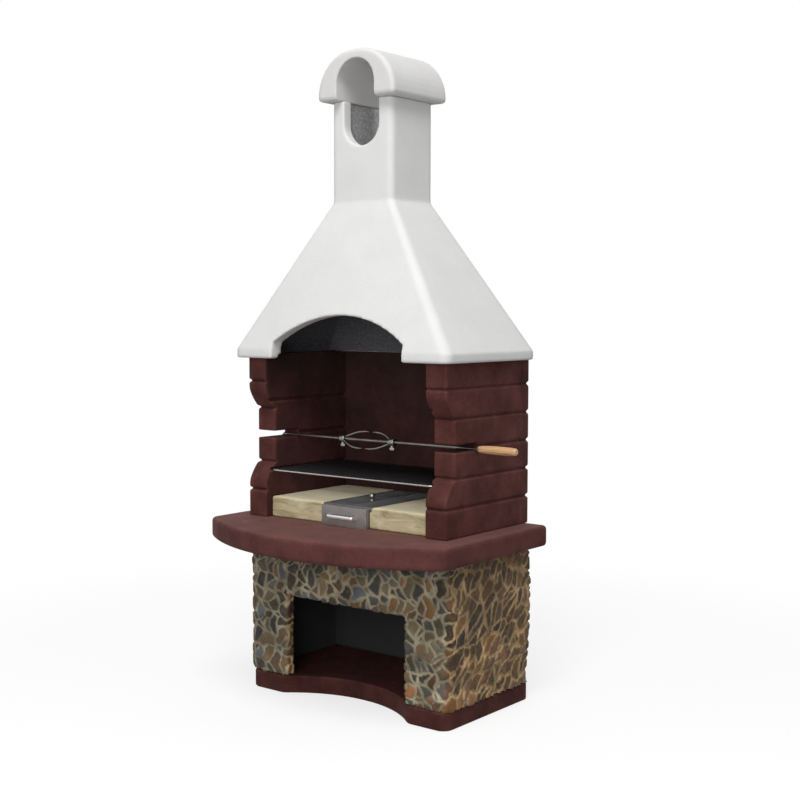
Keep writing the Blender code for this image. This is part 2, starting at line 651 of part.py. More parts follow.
def build_drawer_front(carrier):
    """A plate with its top and side edges folded back to meet the hearth blocks."""
    half = HALF_CHANNEL + DRAWER_PAN_OVERLAP
    sheet, top = DRAWER_SHEET, DRAWER_PAN_HEIGHT
    pan = prism(rectangle((-half, SEAT_GAP), (half, top)), "Y", -sheet, DRAWER_PAN_DEPTH - sheet - SEAT_GAP,
                "ash_drawer_front")
    front = piece("ash_drawer_front", pan, finish("steel_sheet_front", 0.14, 0.13, 0.135, 0.45, 0.8), carrier)
    hollow = prism(rectangle((sheet - half, -CUT_OVERRUN), (half - sheet, top - sheet)), "Y", 0,
                   DRAWER_PAN_DEPTH + CUT_OVERRUN)
    combine(front, hollow, "DIFFERENCE", "hollow")


def build_drawer_handle(carrier):
    """A flat strip bent to a U, with its ends on the front plate."""
    plate = -DRAWER_SHEET - SEAT_GAP
    grip = plate - HANDLE_PROJECTION
    outside, thick = HANDLE_BEND_RADIUS, HANDLE_STRIP_THICKNESS
    half = HANDLE_WIDTH / 2
    bend = (half - outside, grip + outside)
    outline = arc(bend, outside, 270, 360, CORNER_STEPS) + [(half, plate), (half - thick, plate)]
    outline += arc(bend, outside - thick, 360, 270, CORNER_STEPS)
    outline += mirrored(outline)
    middle = DRAWER_PAN_HEIGHT / 2
    mesh = prism(outline, "Z", middle - HANDLE_STRIP_WIDTH / 2, middle + HANDLE_STRIP_WIDTH / 2,
                 "ash_drawer_handle")
    piece("ash_drawer_handle", mesh, finish("bright_steel_handle", 0.75, 0.74, 0.72, 0.3, 1.0), carrier, True)


def build_cooking_grill(carrier):
    """A closed frame wire, bars from front to back on top of it and cross wires, all welded."""
    half = PANEL_INNER_X + GRILL_SLOT_DEPTH - GRILL_SIDE_CLEARANCE - GRILL_FRAME_RADIUS
    corner = GRILL_CORNER_RADIUS
    loop = rounded_rectangle((-half, 0), (half, GRILL_DEPTH), corner)
    frame = wire([(x, y, 0) for x, y in loop], [GRILL_FRAME_RADIUS] * len(loop), closed=True,
                 name="cooking_grill")
    steel = finish("grill_wire_steel", 0.12, 0.12, 0.125, 0.4, 0.9)
    grill = piece("cooking_grill", frame, steel, carrier, True)
    lift = GRILL_FRAME_RADIUS + GRILL_BAR_RADIUS - GRILL_WELD_SINK
    inside = half - GRILL_FRAME_RADIUS - GRILL_BAR_PITCH / 2
    count = 2 * int(inside / GRILL_BAR_PITCH) + 1
    for index in range(GRILL_CROSS_WIRES):
        y = GRILL_DEPTH * (index + 1) / (GRILL_CROSS_WIRES + 1)
        cross = wire([(-half, y, 0), (half, y, 0)], [GRILL_CROSS_RADIUS] * 2, name="cross_wire")
        combine(grill, cross, "UNION", f"cross_wire_{index + 1}")
    builder = bmesh.new()
    for index in range(count):
        x = (index - (count - 1) / 2) * GRILL_BAR_PITCH
        ends = [(x, -GRILL_BAR_OVERHANG, lift), (x, GRILL_DEPTH + GRILL_BAR_OVERHANG, lift)]
        bar = wire(ends, [GRILL_BAR_RADIUS] * len(ends))
        builder.from_mesh(bar)
    bars = mesh_from(builder, "grill_bars")
    combine(grill, bars, "UNION", "bars")


def build_spit_rod(carrier):
    """A round rod with a blunt point; its tang ends inside the handle."""
    left = SPIT_TIP_INSET - HALF_BODY
    right = HALF_BODY + SPIT_PANEL_CLEARANCE + FERRULE_LENGTH + SPIT_TANG_LENGTH
    profile = [(left, 0), (left, SPIT_TIP_RADIUS), (left + SPIT_TIP_LENGTH, SPIT_ROD_RADIUS),
               (right, SPIT_ROD_RADIUS), (right, 0)]
    mesh = turned(profile, "X", name="spit_rod")
    piece("spit_rod", mesh, finish("bright_steel_rod", 0.45, 0.43, 0.43, 0.3, 1.0), carrier, True)


def build_spit_ferrule(carrier):
    start = HALF_BODY + SPIT_PANEL_CLEARANCE
    end = start + FERRULE_LENGTH
    bore = SPIT_ROD_RADIUS + SEAT_GAP
    profile = [(start, bore), (start, FERRULE_RADIUS - FERRULE_CHAMFER),
               (start + FERRULE_CHAMFER, FERRULE_RADIUS),
               (end, FERRULE_RADIUS), (end, bore)]
    mesh = turned(profile, "X", name="spit_ferrule")
    piece("spit_ferrule", mesh, finish("dark_steel_ferrule", 0.25, 0.24, 0.23, 0.4, 1.0), carrier, True)


def build_spit_handle(carrier):
    """A turned wooden grip with a blind bore for the tang."""
    start = HALF_BODY + SPIT_PANEL_CLEARANCE + FERRULE_LENGTH + SEAT_GAP
    bore = SPIT_ROD_RADIUS + SEAT_GAP
    profile = [(start + place * SPIT_HANDLE_LENGTH, share * SPIT_HANDLE_RADIUS) for place, share in
               SPIT_HANDLE_SHARES]
    profile.append((start + SPIT_HANDLE_LENGTH, 0))
    bore_end = start + SPIT_TANG_LENGTH + SEAT_GAP
    profile = [(bore_end, 0), (bore_end, bore), (start, bore)] + profile
    mesh = turned(profile, "X", name="spit_handle")
    piece("spit_handle", mesh, finish("turned_beech", 0.75, 0.47, 0.2, 0.5), carrier, True)


def build_fork(name, heading, carrier):
    """Hub and two prongs that point along the rod; local to the hub's middle."""
    half = FORK_HUB_LENGTH / 2
    bore = SPIT_ROD_RADIUS + FORK_BORE_CLEARANCE
    hub = turned([(-half, bore), (-half, FORK_HUB_RADIUS - FORK_HUB_CHAMFER),
                  (FORK_HUB_CHAMFER - half, FORK_HUB_RADIUS), (half - FORK_HUB_CHAMFER, FORK_HUB_RADIUS),
                  (half, FORK_HUB_RADIUS - FORK_HUB_CHAMFER), (half, bore)], "X", name=name)
    fork = piece(name, hub, finish(f"bright_steel_{name}", 0.45, 0.43, 0.43, 0.32, 1.0), carrier, True)
    angle = math.radians(PRONG_ANGLE_DEG)
    for label, sign in (("lower_prong", -1), ("upper_prong", 1)):
        path, radii = [], []
        for run, out in PRONG_PATH_SHARES:
            spread = sign * PRONG_SPREAD * out
            path.append((heading * (PRONG_ROOT_OFFSET + PRONG_REACH * run), spread * math.cos(angle),
                         spread * math.sin(angle)))
            radii.append(PRONG_RADIUS)
        radii[-1] = PRONG_TIP_RADIUS
        combine(fork, wire(path, radii, name=label), "UNION", label)
    hole_radius = SCREW_SHANK_RADIUS + FORK_BORE_CLEARANCE
    hole = turned([(-FORK_HUB_RADIUS - CUT_OVERRUN, 0), (-FORK_HUB_RADIUS - CUT_OVERRUN, hole_radius),
                   (0, hole_radius), (0, 0)], "Z")
    combine(fork, hole, "DIFFERENCE", "screw_hole")


def build_fork_screw(name, carrier):
    """A wing screw that hangs below the hub, its shank close to the rod."""
    tip = -SPIT_ROD_RADIUS - SEAT_GAP
    collar_top = -FORK_HUB_RADIUS - SCREW_COLLAR_OFFSET
    collar_low = collar_top - SCREW_COLLAR_HEIGHT
    profile = [(tip, 0), (tip, SCREW_SHANK_RADIUS), (collar_top, SCREW_SHANK_RADIUS),
               (collar_top, SCREW_COLLAR_RADIUS), (collar_low, SCREW_COLLAR_RADIUS), (collar_low, 0)]
    mesh = turned(profile, "Z", name=name)
    screw = piece(name, mesh, finish(f"bright_steel_{name}", 0.5, 0.49, 0.48, 0.3, 1.0), carrier, True)
    low, half = collar_top + WING_OFFSET - WING_HEIGHT, WING_WIDTH / 2
    ear = half / 2
    outline = arc((ear, low + ear), ear, -90, 60, CORNER_STEPS)
    outline += [(0, collar_top + WING_OFFSET)] + mirrored(outline)
    outline = outline[:-1] if outline[-1] == outline[0] else outline
    wing = prism(outline, "Y", -WING_THICKNESS / 2, WING_THICKNESS / 2)
    combine(screw, wing, "UNION", "wing")


def hood_ring(half_width, front, back, height, radius):
    plan = rounded_rectangle((-half_width, front), (half_width, back), radius)
    return [(x, y, height) for x, y in plan]


def arch_outline(half_width, low, spring, rise):
    """Straight jambs and a segment of a circle on top, seen from the front."""
    radius = bow_radius(half_width, rise)
    centre = (0, spring + rise - radius)
    start = angle_of(centre, (half_width, spring))
    return [(-half_width, low), (half_width, low)] + arc(centre, radius, start, 180 - start, 2 * ARC_STEPS)


def build_hood(carrier):
    """Two lofts, one inside the other, then the rebate over the panels and the arch."""
    neck_front = COLUMN_CENTRE_Y - COLUMN_DEPTH / 2
    neck_back = COLUMN_CENTRE_Y + COLUMN_DEPTH / 2
    skirt = PANEL_TOP - HOOD_SKIRT_DROP
    apron = skirt + HOOD_APRON_HEIGHT
    outer = skin([
        hood_ring(HALF_HOOD, HOOD_FRONT_Y, HOOD_BACK_Y, skirt, HOOD_RIDGE_RADIUS),
        hood_ring(HALF_HOOD, HOOD_FRONT_Y, HOOD_BACK_Y, apron, HOOD_RIDGE_RADIUS),
        hood_ring(COLUMN_WIDTH / 2, neck_front, neck_back, NECK_TOP, COLUMN_CORNER_RADIUS),
    ], "hood")
    hood = piece("hood", outer, finish("white_render_hood", 0.8, 0.8, 0.79, 0.8), carrier, True)
    flue_front, flue_back = neck_front + COLUMN_WALL, neck_back - COLUMN_WALL
    inner = skin([
        hood_ring(HALF_HOOD - HOOD_WALL, HOOD_FRONT_Y + HOOD_WALL, HOOD_BACK_Y - HOOD_WALL,
                  skirt - CUT_OVERRUN, HOOD_INNER_RADIUS),
        hood_ring(HALF_HOOD - HOOD_WALL, HOOD_FRONT_Y + HOOD_WALL, HOOD_BACK_Y - HOOD_WALL,
                  apron, HOOD_INNER_RADIUS),
        hood_ring(HALF_FLUE_X, flue_front, flue_back, NECK_TOP - COLUMN_WALL, FLUE_CORNER_RADIUS),
        hood_ring(HALF_FLUE_X, flue_front, flue_back, NECK_TOP + CUT_OVERRUN, FLUE_CORNER_RADIUS),
    ], "hood_hollow")
    combine(hood, inner, "DIFFERENCE", "hollow")
    reach = HALF_BODY + HOOD_REBATE_CLEARANCE
    rebate = rectangle((-reach, FRONT_Y - HOOD_REBATE_CLEARANCE), (reach, BACK_Y + CUT_OVERRUN))
    combine(hood, prism(rebate, "Z", skirt - CUT_OVERRUN, PANEL_TOP + SEAT_GAP), "DIFFERENCE", "rebate")
    arch = arch_outline(ARCH_WIDTH / 2, skirt - CUT_OVERRUN, PANEL_TOP + ARCH_SPRING_HEIGHT, ARCH_RISE)
    combine(hood, prism(arch, "Y", HOOD_FRONT_Y - CUT_OVERRUN, COLUMN_CENTRE_Y), "DIFFERENCE", "arch")


def build_flue_column(carrier):
    low = (-COLUMN_WIDTH / 2, COLUMN_CENTRE_Y - COLUMN_DEPTH / 2)
    high = (COLUMN_WIDTH / 2, COLUMN_CENTRE_Y + COLUMN_DEPTH / 2)
    mesh = prism(rounded_rectangle(low, high, COLUMN_CORNER_RADIUS), "Z", NECK_TOP + SEAT_GAP, COLUMN_TOP,
                 "flue_column")
    column = piece("flue_column", mesh, finish("white_render_column", 0.8, 0.8, 0.79, 0.8), carrier, True)
    flue = rounded_rectangle((-HALF_FLUE_X, COLUMN_CENTRE_Y - HALF_FLUE_Y),
                             (HALF_FLUE_X, COLUMN_CENTRE_Y + HALF_FLUE_Y), FLUE_CORNER_RADIUS)
    combine(column, prism(flue, "Z", NECK_TOP - CUT_OVERRUN, COLUMN_TOP + CUT_OVERRUN), "DIFFERENCE", "flue")
    radius = SMOKE_HOLE_WIDTH / 2
    hole = arc((0, COLUMN_TOP - SMOKE_HOLE_SPRING_DROP), radius, 180, 360, 2 * ARC_STEPS)
    hole += [(radius, COLUMN_TOP + CUT_OVERRUN), (-radius, COLUMN_TOP + CUT_OVERRUN)]
    combine(column, prism(hole, "Y", low[1] - CUT_OVERRUN, COLUMN_CENTRE_Y), "DIFFERENCE", "smoke_hole")


def build_chimney_cap(carrier):
    """A barrel with full shoulders and a stilted tunnel through it, open to the flue below."""
    front = COLUMN_CENTRE_Y - COLUMN_DEPTH / 2 - CAP_FRONT_OVERHANG
    back = COLUMN_CENTRE_Y + COLUMN_DEPTH / 2 + CAP_BACK_OVERHANG
    base = COLUMN_TOP + SEAT_GAP
    half, shoulder_z = CAP_WIDTH / 2, COLUMN_TOP + CAP_RISE - CAP_SHOULDER_RADIUS
    inset = half - CAP_SHOULDER_RADIUS
    barrel = [(-half, base), (half, base)]
    barrel += arc((inset, shoulder_z), CAP_SHOULDER_RADIUS, 0, 90, ARC_STEPS)
    barrel += arc((-inset, shoulder_z), CAP_SHOULDER_RADIUS, 90, 180, ARC_STEPS)
    cap = piece("chimney_cap", prism(barrel, "Y", front, back, "chimney_cap"),
                finish("white_render_cap", 0.8, 0.8, 0.79, 0.8), carrier, True)
    soften(cap, CAP_ARRIS_RADIUS)
    radius = CAP_TUNNEL_WIDTH / 2
    tunnel = [(-radius, base - CUT_OVERRUN), (radius, base - CUT_OVERRUN)]
    tunnel += arc((0, COLUMN_TOP + CAP_TUNNEL_STILT), radius, 0, 180, 2 * ARC_STEPS)
    combine(cap, prism(tunnel, "Y", front - CUT_OVERRUN, back + CUT_OVERRUN), "DIFFERENCE", "tunnel")


def build_masonry():
    carrier = pivot("masonry", (0, 0, 0))
    build_plinth(carrier)
    for name, side in (("store_left_leg", -1), ("store_right_leg", 1)):
        build_store_leg(name, side, carrier)
    build_store_lintel(carrier)
    build_store_back(carrier)
    build_mantel(carrier)
    for name, side in (("left_side_panel", -1), ("right_side_panel", 1)):
        build_side_panel(name, side, carrier)
    build_back_panel(carrier)
    for name, side in (("hearth_block_left", -1), ("hearth_block_right", 1)):
        build_hearth_block(name, side, carrier)
    build_hood(carrier)
    build_flue_column(carrier)
    build_chimney_cap(carrier)


def build_moving_pieces():
    grate_origin = (0, (HEARTH_FRONT_Y + BACK_PANEL_Y) / 2, HEARTH_TOP - GRATE_THICKNESS)
    grate = pivot("grate_lift", grate_origin)
    build_fire_grate(grate, grate_origin)
    build_grate_knob(grate, grate_origin)
    drawer = pivot("drawer_slide", (0, DRAWER_Y, MANTEL_TOP))
    build_drawer_tray(drawer)
    build_drawer_front(drawer)
    build_drawer_handle(drawer)
    grill_z = MANTEL_TOP + GRILL_SLOT_RISE + GRILL_FRAME_RADIUS + SEAT_GAP
    build_cooking_grill(pivot("grill_slide", (0, GRILL_Y, grill_z)))
    spit = pivot("spit_spin", (0, SPIT_Y, SPIT_Z))
    build_spit_rod(spit)
    build_spit_ferrule(spit)
    build_spit_handle(spit)
    for side, heading, word in ((-1, 1, "left"), (1, -1, "right")):
        slide = pivot(f"fork_{word}_slide", (FORK_MIDDLE + side * FORK_SPACING / 2, 0, 0), spit)
        build_fork(f"fork_{word}", heading, slide)
        build_fork_screw(f"fork_screw_{word}", pivot(f"fork_screw_{word}_turn", (0, 0, 0), slide))


clear_scene()
build_masonry()
build_moving_pieces()
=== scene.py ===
import math

import bmesh
import bpy
import numpy as np
from mathutils import Matrix, Vector, kdtree


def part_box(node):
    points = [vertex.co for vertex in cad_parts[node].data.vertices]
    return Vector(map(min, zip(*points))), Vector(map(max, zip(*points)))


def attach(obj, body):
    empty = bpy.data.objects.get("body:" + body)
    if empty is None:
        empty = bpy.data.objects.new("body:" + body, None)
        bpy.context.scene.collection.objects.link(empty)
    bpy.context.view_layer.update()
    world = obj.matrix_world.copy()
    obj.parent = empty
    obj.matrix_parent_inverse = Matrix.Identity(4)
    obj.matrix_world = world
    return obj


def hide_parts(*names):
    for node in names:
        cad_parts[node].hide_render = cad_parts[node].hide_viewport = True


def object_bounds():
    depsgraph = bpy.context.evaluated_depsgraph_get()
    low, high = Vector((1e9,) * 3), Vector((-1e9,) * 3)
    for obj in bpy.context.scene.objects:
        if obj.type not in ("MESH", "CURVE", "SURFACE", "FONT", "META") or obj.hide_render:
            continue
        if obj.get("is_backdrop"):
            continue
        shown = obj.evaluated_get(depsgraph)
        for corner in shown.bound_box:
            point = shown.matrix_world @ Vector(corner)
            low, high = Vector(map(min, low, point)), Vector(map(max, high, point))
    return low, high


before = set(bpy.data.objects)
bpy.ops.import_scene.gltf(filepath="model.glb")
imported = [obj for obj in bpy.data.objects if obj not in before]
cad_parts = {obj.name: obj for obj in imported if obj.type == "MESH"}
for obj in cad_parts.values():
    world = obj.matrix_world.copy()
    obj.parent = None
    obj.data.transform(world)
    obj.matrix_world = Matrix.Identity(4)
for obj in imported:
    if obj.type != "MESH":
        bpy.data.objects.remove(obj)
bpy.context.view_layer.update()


# Plinth: one slab of concrete with red-brown pigment right through it, poured in a steel mould,
# so its faces are flat and matt with a fine sandy grain and a few air holes. Its front is
# hollowed between two feet, and it stands loose on the ground.

def linear(code):
    """An sRGB hex value as linear colour with full alpha."""
    parts = [int(code[place:place + 2], 16) / 255 for place in (1, 3, 5)]
    return [part / 12.92 if part <= 0.04045 else ((part + 0.055) / 1.055) ** 2.4 for part in parts] + [1.0]


def fill(node, inputs):
    """Sets a node's inputs: each takes a plain value, a hex colour or another node's output, and From or
    To takes both ends of a range."""
    for key, value in inputs.items():
        if key in ("From", "To"):
            fill(node, {f"{key} Min": value[0], f"{key} Max": value[1]})
        elif isinstance(value, bpy.types.NodeSocket):
            node.id_data.links.new(value, node.inputs[key])
        else:
            node.inputs[key].default_value = linear(value) if isinstance(value, str) else value


def add(tree, kind, inputs=None, gives=None, **settings):
    """Adds one shader node with its settings and links, and hands over its output: the first that is in
    use, or the one that gives names."""
    made = tree.nodes.new("ShaderNode" + kind)
    for key, value in settings.items():
        setattr(made, key, value)
    fill(made, inputs or {})
    return made.outputs[gives] if gives else next((found for found in made.outputs if found.enabled), None)


def new_material(name):
    """An empty material with its shader, and the place on the piece in metres that its patterns follow."""
    material = bpy.data.materials.new(name)
    material.use_nodes = True
    tree = material.node_tree
    tree.nodes.clear()
    shader = tree.nodes.new("ShaderNodeBsdfPrincipled")
    add(tree, "OutputMaterial", {"Surface": shader.outputs["BSDF"]})
    return material, tree, shader, add(tree, "TexCoord", gives="Object")


def solid_of(nodes):
    """The closed solids of these nodes, with the corners that the file format split joined again."""
    builder = bmesh.new()
    for node in nodes:
        builder.from_mesh(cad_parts[node].data)
    bmesh.ops.remove_doubles(builder, verts=builder.verts, dist=0.00001)
    return builder


def values_of(items, what, width):
    """One property of every vertex or edge as an array."""
    flat = np.zeros(len(items) * width, dtype=np.int32 if what == "vertices" else np.float32)
    items.foreach_get(what, flat)
    return flat.reshape(-1, width)


def note(mesh, name, values):
    """Stores one number for each vertex, for the material to read."""
    layer = mesh.attributes.new(name, "FLOAT", "POINT")
    layer.data.foreach_set("value", np.asarray(values, dtype=np.float32))


def in_scene(name, data):
    """A new object in the scene that shows this mesh, lamp or camera."""
    made = bpy.data.objects.new(name, data)
    bpy.context.scene.collection.objects.link(made)
    return made


def cast(name, nodes, net_size, wear_rounds):
    """A casting's skin: a fine even net over its solids, with every arris worn round as concrete wears. The
    net keeps how many millimetres each point lost on an arris or gained in a corner (below zero); the
    materials use the corners for painted shade."""
    builder = solid_of(nodes)
    rough = bpy.data.meshes.new(name)
    builder.to_mesh(rough)
    builder.free()
    casting = in_scene(name, rough)
    net = casting.modifiers.new("net", "REMESH")
    net.mode = "VOXEL"
    net.voxel_size = net_size
    skin = bpy.data.meshes.new_from_object(casting.evaluated_get(bpy.context.evaluated_depsgraph_get()))
    casting.modifiers.clear()
    casting.data = skin
    points = values_of(skin.vertices, "co", 3)
    normals = values_of(skin.vertices, "normal", 3)
    first, second = values_of(skin.edges, "vertices", 2).T
    ends, others = np.concatenate([first, second]), np.concatenate([second, first])
    valence = np.bincount(ends, minlength=len(points))
    worn = points.astype(float)
    for _ in range(wear_rounds):
        around = np.stack([np.bincount(ends, worn[others, axis], len(points)) for axis in range(3)], 1)
        worn = (worn + around / valence[:, None]) / 2
    lost = -((worn - points) * normals).sum(1) * 1000
    skin.vertices.foreach_set("co", worn.astype(np.float32).ravel())
    note(skin, "wear_and_crease_shade", lost)
    skin.shade_smooth()
    skin.update()
    return casting


def pigmented_concrete(name, body, pale, dark, floated_and_top_light=0.0):
    """Concrete with pigment, poured in a mould: clouds of tone where the mix dried unevenly, sand grains,
    small air holes, paler arrises where handling has rubbed the pigment skin off, and painted shade in the
    inside corners and grooves."""
    material, tree, shader, place = new_material(name)
    clouds = add(tree, "TexNoise", {"Vector": place, "Scale": 1 / 0.09, "Detail": 4.0, "Roughness": 0.6})
    cloud_tone = add(tree, "MapRange", {"Value": clouds, "From": (0.35, 0.68)})
    mixed = add(tree, "Mix", {0: cloud_tone, 6: dark, 7: body}, data_type="RGBA")
    # sand: 1 to 2 mm grains, drawn 5 mm wide to show at this distance
    sand = add(tree, "TexNoise", {"Vector": place, "Scale": 1 / 0.005, "Detail": 2.0, "Roughness": 0.7})
    speck = add(tree, "MapRange", {"Value": sand, "From": (0.3, 0.7), "To": (0.82, 1.16)})
    specked = add(tree, "Mix", {0: 1.0, 6: mixed, 7: speck}, data_type="RGBA", blend_type="MULTIPLY")
    wear_and_crease_shade = add(tree, "Attribute", gives="Fac", attribute_name="wear_and_crease_shade")
    rubbed = add(tree, "MapRange", {"Value": wear_and_crease_shade, "From": (0.25, 1.4), "To": (0, 0.8)})
    scuffed = add(tree, "Math", {0: rubbed, 1: cloud_tone}, operation="MULTIPLY")
    edged = add(tree, "Mix", {0: scuffed, 6: specked, 7: pale}, data_type="RGBA")
    # the top faces are paler: partly as the side floated open to the air dries paler than the moulded sides,
    # partly as painted light from above
    up = add(tree, "SeparateXYZ", {0: add(tree, "NewGeometry", gives="Normal")}, gives="Z")
    level = add(tree, "MapRange", {"Value": up, "From": (0.75, 0.98), "To": (0, floated_and_top_light)})
    top_lightened = add(tree, "Mix", {0: level, 6: edged, 7: pale}, data_type="RGBA")
    # painted shade: the inside corners and grooves of the casting are darkened, down to a quarter of their
    # colour
    crease_shade = add(tree, "MapRange", {"Value": wear_and_crease_shade, "From": (-0.12, -0.8), "To": (1.0, 0.25)})
    crease_shaded = add(tree, "Mix", {0: 1.0, 6: top_lightened, 7: crease_shade}, data_type="RGBA", blend_type="MULTIPLY")
    # air holes: one every 30 mm or so, drawn 3 to 6 mm across so that they show
    holes = add(tree, "TexVoronoi", {"Vector": place, "Scale": 1 / 0.03})
    hole_depth = add(tree, "MapRange", {"Value": holes, "From": (0.05, 0.11)},
                     interpolation_type="SMOOTHSTEP")
    grain_bump = add(tree, "Bump", {"Height": sand, "Strength": 0.55, "Distance": 0.0016})
    hole_bump = add(tree, "Bump", {"Height": hole_depth, "Strength": 0.8, "Distance": 0.0012,
                                   "Normal": grain_bump})
    matt = add(tree, "MapRange", {"Value": clouds, "From": (0.3, 0.7), "To": (0.93, 0.76)})
    fill(shader, {"Base Color": crease_shaded, "Normal": hole_bump, "Roughness": matt, "Specular IOR Level": 0.2})
    return material


plinth = cast("plinth_slab", ["plinth"], net_size=0.0033, wear_rounds=4)
# painted shade: the plinth's colours are a darker copy of the mantel's, though both are the same concrete
plinth.data.materials.append(pigmented_concrete("red_pigmented_concrete_plinth", body="#572f2a",
                                                pale="#7a554f", dark="#42231f"))
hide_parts("plinth")
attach(plinth, "masonry")


# Log store: two legs, a lintel and a back wall, cast against rubber moulds of rubble masonry, so
# small irregular stones stand some millimetres proud of raked joints on every outside face and in
# the reveal. The stones are painted by hand one by one, and the joints are a sandy grey.

stone_pitch = 0.0375
stone_height_share = 1.35
stone_lean_share = 0.75
stone_proud = 0.009
stone_shoulder = 0.0085
joint_half_width = 0.0021
joint_raked = 0.0012
# how unevenly the stones lie, as a share of their pitch, how many merge, and how far their edges bend
stone_jitter_share, merged_share, edge_sway = 0.42, 0.2, 0.006
# the waves that bend the edges and swell the joints, in radians per metre
edge_waves, joint_waves = 75, 110
# the lowest stone stands this share of stone_proud above its joints
least_rise_share = 0.55
# the rubble covers the front and the opening's soffit, the sides and the back, to these depths and from
# these places
front_depth, back_depth, side_x, soffit_z = 0.036, 0.012, 0.42, 0.2
# where each side wall swells or draws in: height, reach up and down, and how far; it starts at belly_x
# and is full at the wall's outside
right_wall_bellies = ((0.37, 0.09, 0.0055), (0.11, 0.06, -0.007))
left_wall_bellies = ((0.46, 0.06, 0.0045), (0.24, 0.22, 0.004))
belly_x, belly_width = 0.3, 0.12


def rubble(casting):
    """Raises one rounded stone in each cell of an uneven three-dimensional packing, cut where the
    packing meets the wall, so that stones turn the corners and run into the reveal."""
    skin = casting.data
    points = values_of(skin.vertices, "co", 3).astype(float)
    normals = values_of(skin.vertices, "normal", 3).astype(float)
    # the stones are taller than wide and lean backwards on the sides, so the packing is made in a space
    # that is squeezed upright and leans the other way
    squeeze = 1 / stone_height_share
    leaning = np.array(((1.0, 0.0, 0.0), (0.0, 1.0, 0.0), (0.0, -stone_lean_share * squeeze, squeeze)))
    facings = normals @ np.linalg.inv(leaning).T
    rng = np.random.default_rng(11)
    sway = np.stack([np.sin(points @ turn + shift) for turn, shift in
                     zip(rng.normal(0, edge_waves, (3, 3)), rng.uniform(0, 6, 3))], 1) * edge_sway
    packed = (points + sway) @ leaning
    low, high = packed.min(0) - 2 * stone_pitch, packed.max(0) + 2 * stone_pitch
    counts = np.ceil((high - low) / stone_pitch).astype(int)
    cells = np.stack(np.meshgrid(*[np.arange(count) for count in counts], indexing="ij"), -1).reshape(-1, 3)
    jitter = rng.uniform(-stone_jitter_share, stone_jitter_share, cells.shape)
    centres = low + (cells + 0.5 + jitter) * stone_pitch
    # neighbours merge here and there, which gives the larger stones of the mould
    centres = centres[rng.random(len(centres)) > merged_share]
    packing = kdtree.KDTree(len(centres))
    for index, centre in enumerate(centres):
        packing.insert(centre, index)
    packing.balance()
    nearest = np.empty(len(points), int)
    border = np.full(len(points), 1.0)
    for place, (point, facing) in enumerate(zip(packed, facings)):
        spot, facing = Vector(point), Vector(facing).normalized()
        found = packing.find_n(spot, 7)
        home, own, _ = found[0]
        nearest[place] = own
        for other, _, _ in found[1:]:
            across = (other - home).normalized()
            # the way to the neighbour's cell, measured along the wall and stretched about threefold at most
            along_wall = max(math.sqrt(max(1 - across.dot(facing) ** 2, 0)), 0.3)
            border[place] = min(border[place], (((home + other) / 2) - spot).dot(across) / along_wall)
    # the mortar was pointed by hand, so a joint swells and narrows along its way
    waves = [np.sin(points @ turn) for turn in rng.normal(0, joint_waves, (3, 3))]
    joint = joint_half_width * (1 + 0.9 * waves[0] * waves[1] + 0.4 * waves[2])
    shoulder = np.clip((border - joint) / stone_shoulder, 0, 1)
    crown = np.sqrt(shoulder * (2 - shoulder))
    tilt = rng.uniform(least_rise_share, 1.0, len(centres))[nearest]
    front, back = points[:, 1].min(), points[:, 1].max()
    at_front, at_back = points[:, 1] < front + front_depth, points[:, 1] > back - back_depth
    outside = at_front | at_back | (np.abs(points[:, 0]) > side_x)
    upright = np.abs(normals[:, 2]) < 0.8
    soffit = at_front & (normals[:, 2] < -0.5) & (points[:, 2] > soffit_z)
    faced = ((outside & upright) | soffit).astype(float)
    rise = faced * (crown * tilt * stone_proud - joint_raked)
    # the back is set against a wall: there the joints are raked and no stone stands proud
    rise -= faced * np.clip((normals[:, 1] - 0.1) / 0.5, 0, 1) * stone_proud
    moved = points + normals * rise[:, None]
    # the moulds gave a little, so the side walls aren't flat
    for side, bellies in ((1, right_wall_bellies), (-1, left_wall_bellies)):
        hold = np.clip((side * points[:, 0] - belly_x) / belly_width, 0, 1)
        for height, reach, depth in bellies:
            moved[:, 0] += side * hold * depth * np.exp(-(((points[:, 2] - height) / reach) ** 2))
    skin.vertices.foreach_set("co", moved.astype(np.float32).ravel())
    note(skin, "stone", rng.random(len(centres))[nearest])
    note(skin, "tone", rng.random(len(centres))[nearest])
    note(skin, "face", crown * faced)
    note(skin, "dressed", faced)
    # how far a point faces sideways: the material adds ochre there and darkens it as painted shade
    note(skin, "side_facing", np.clip((np.abs(normals[:, 0]) - 0.4) / 0.4, 0, 1))
    skin.update()


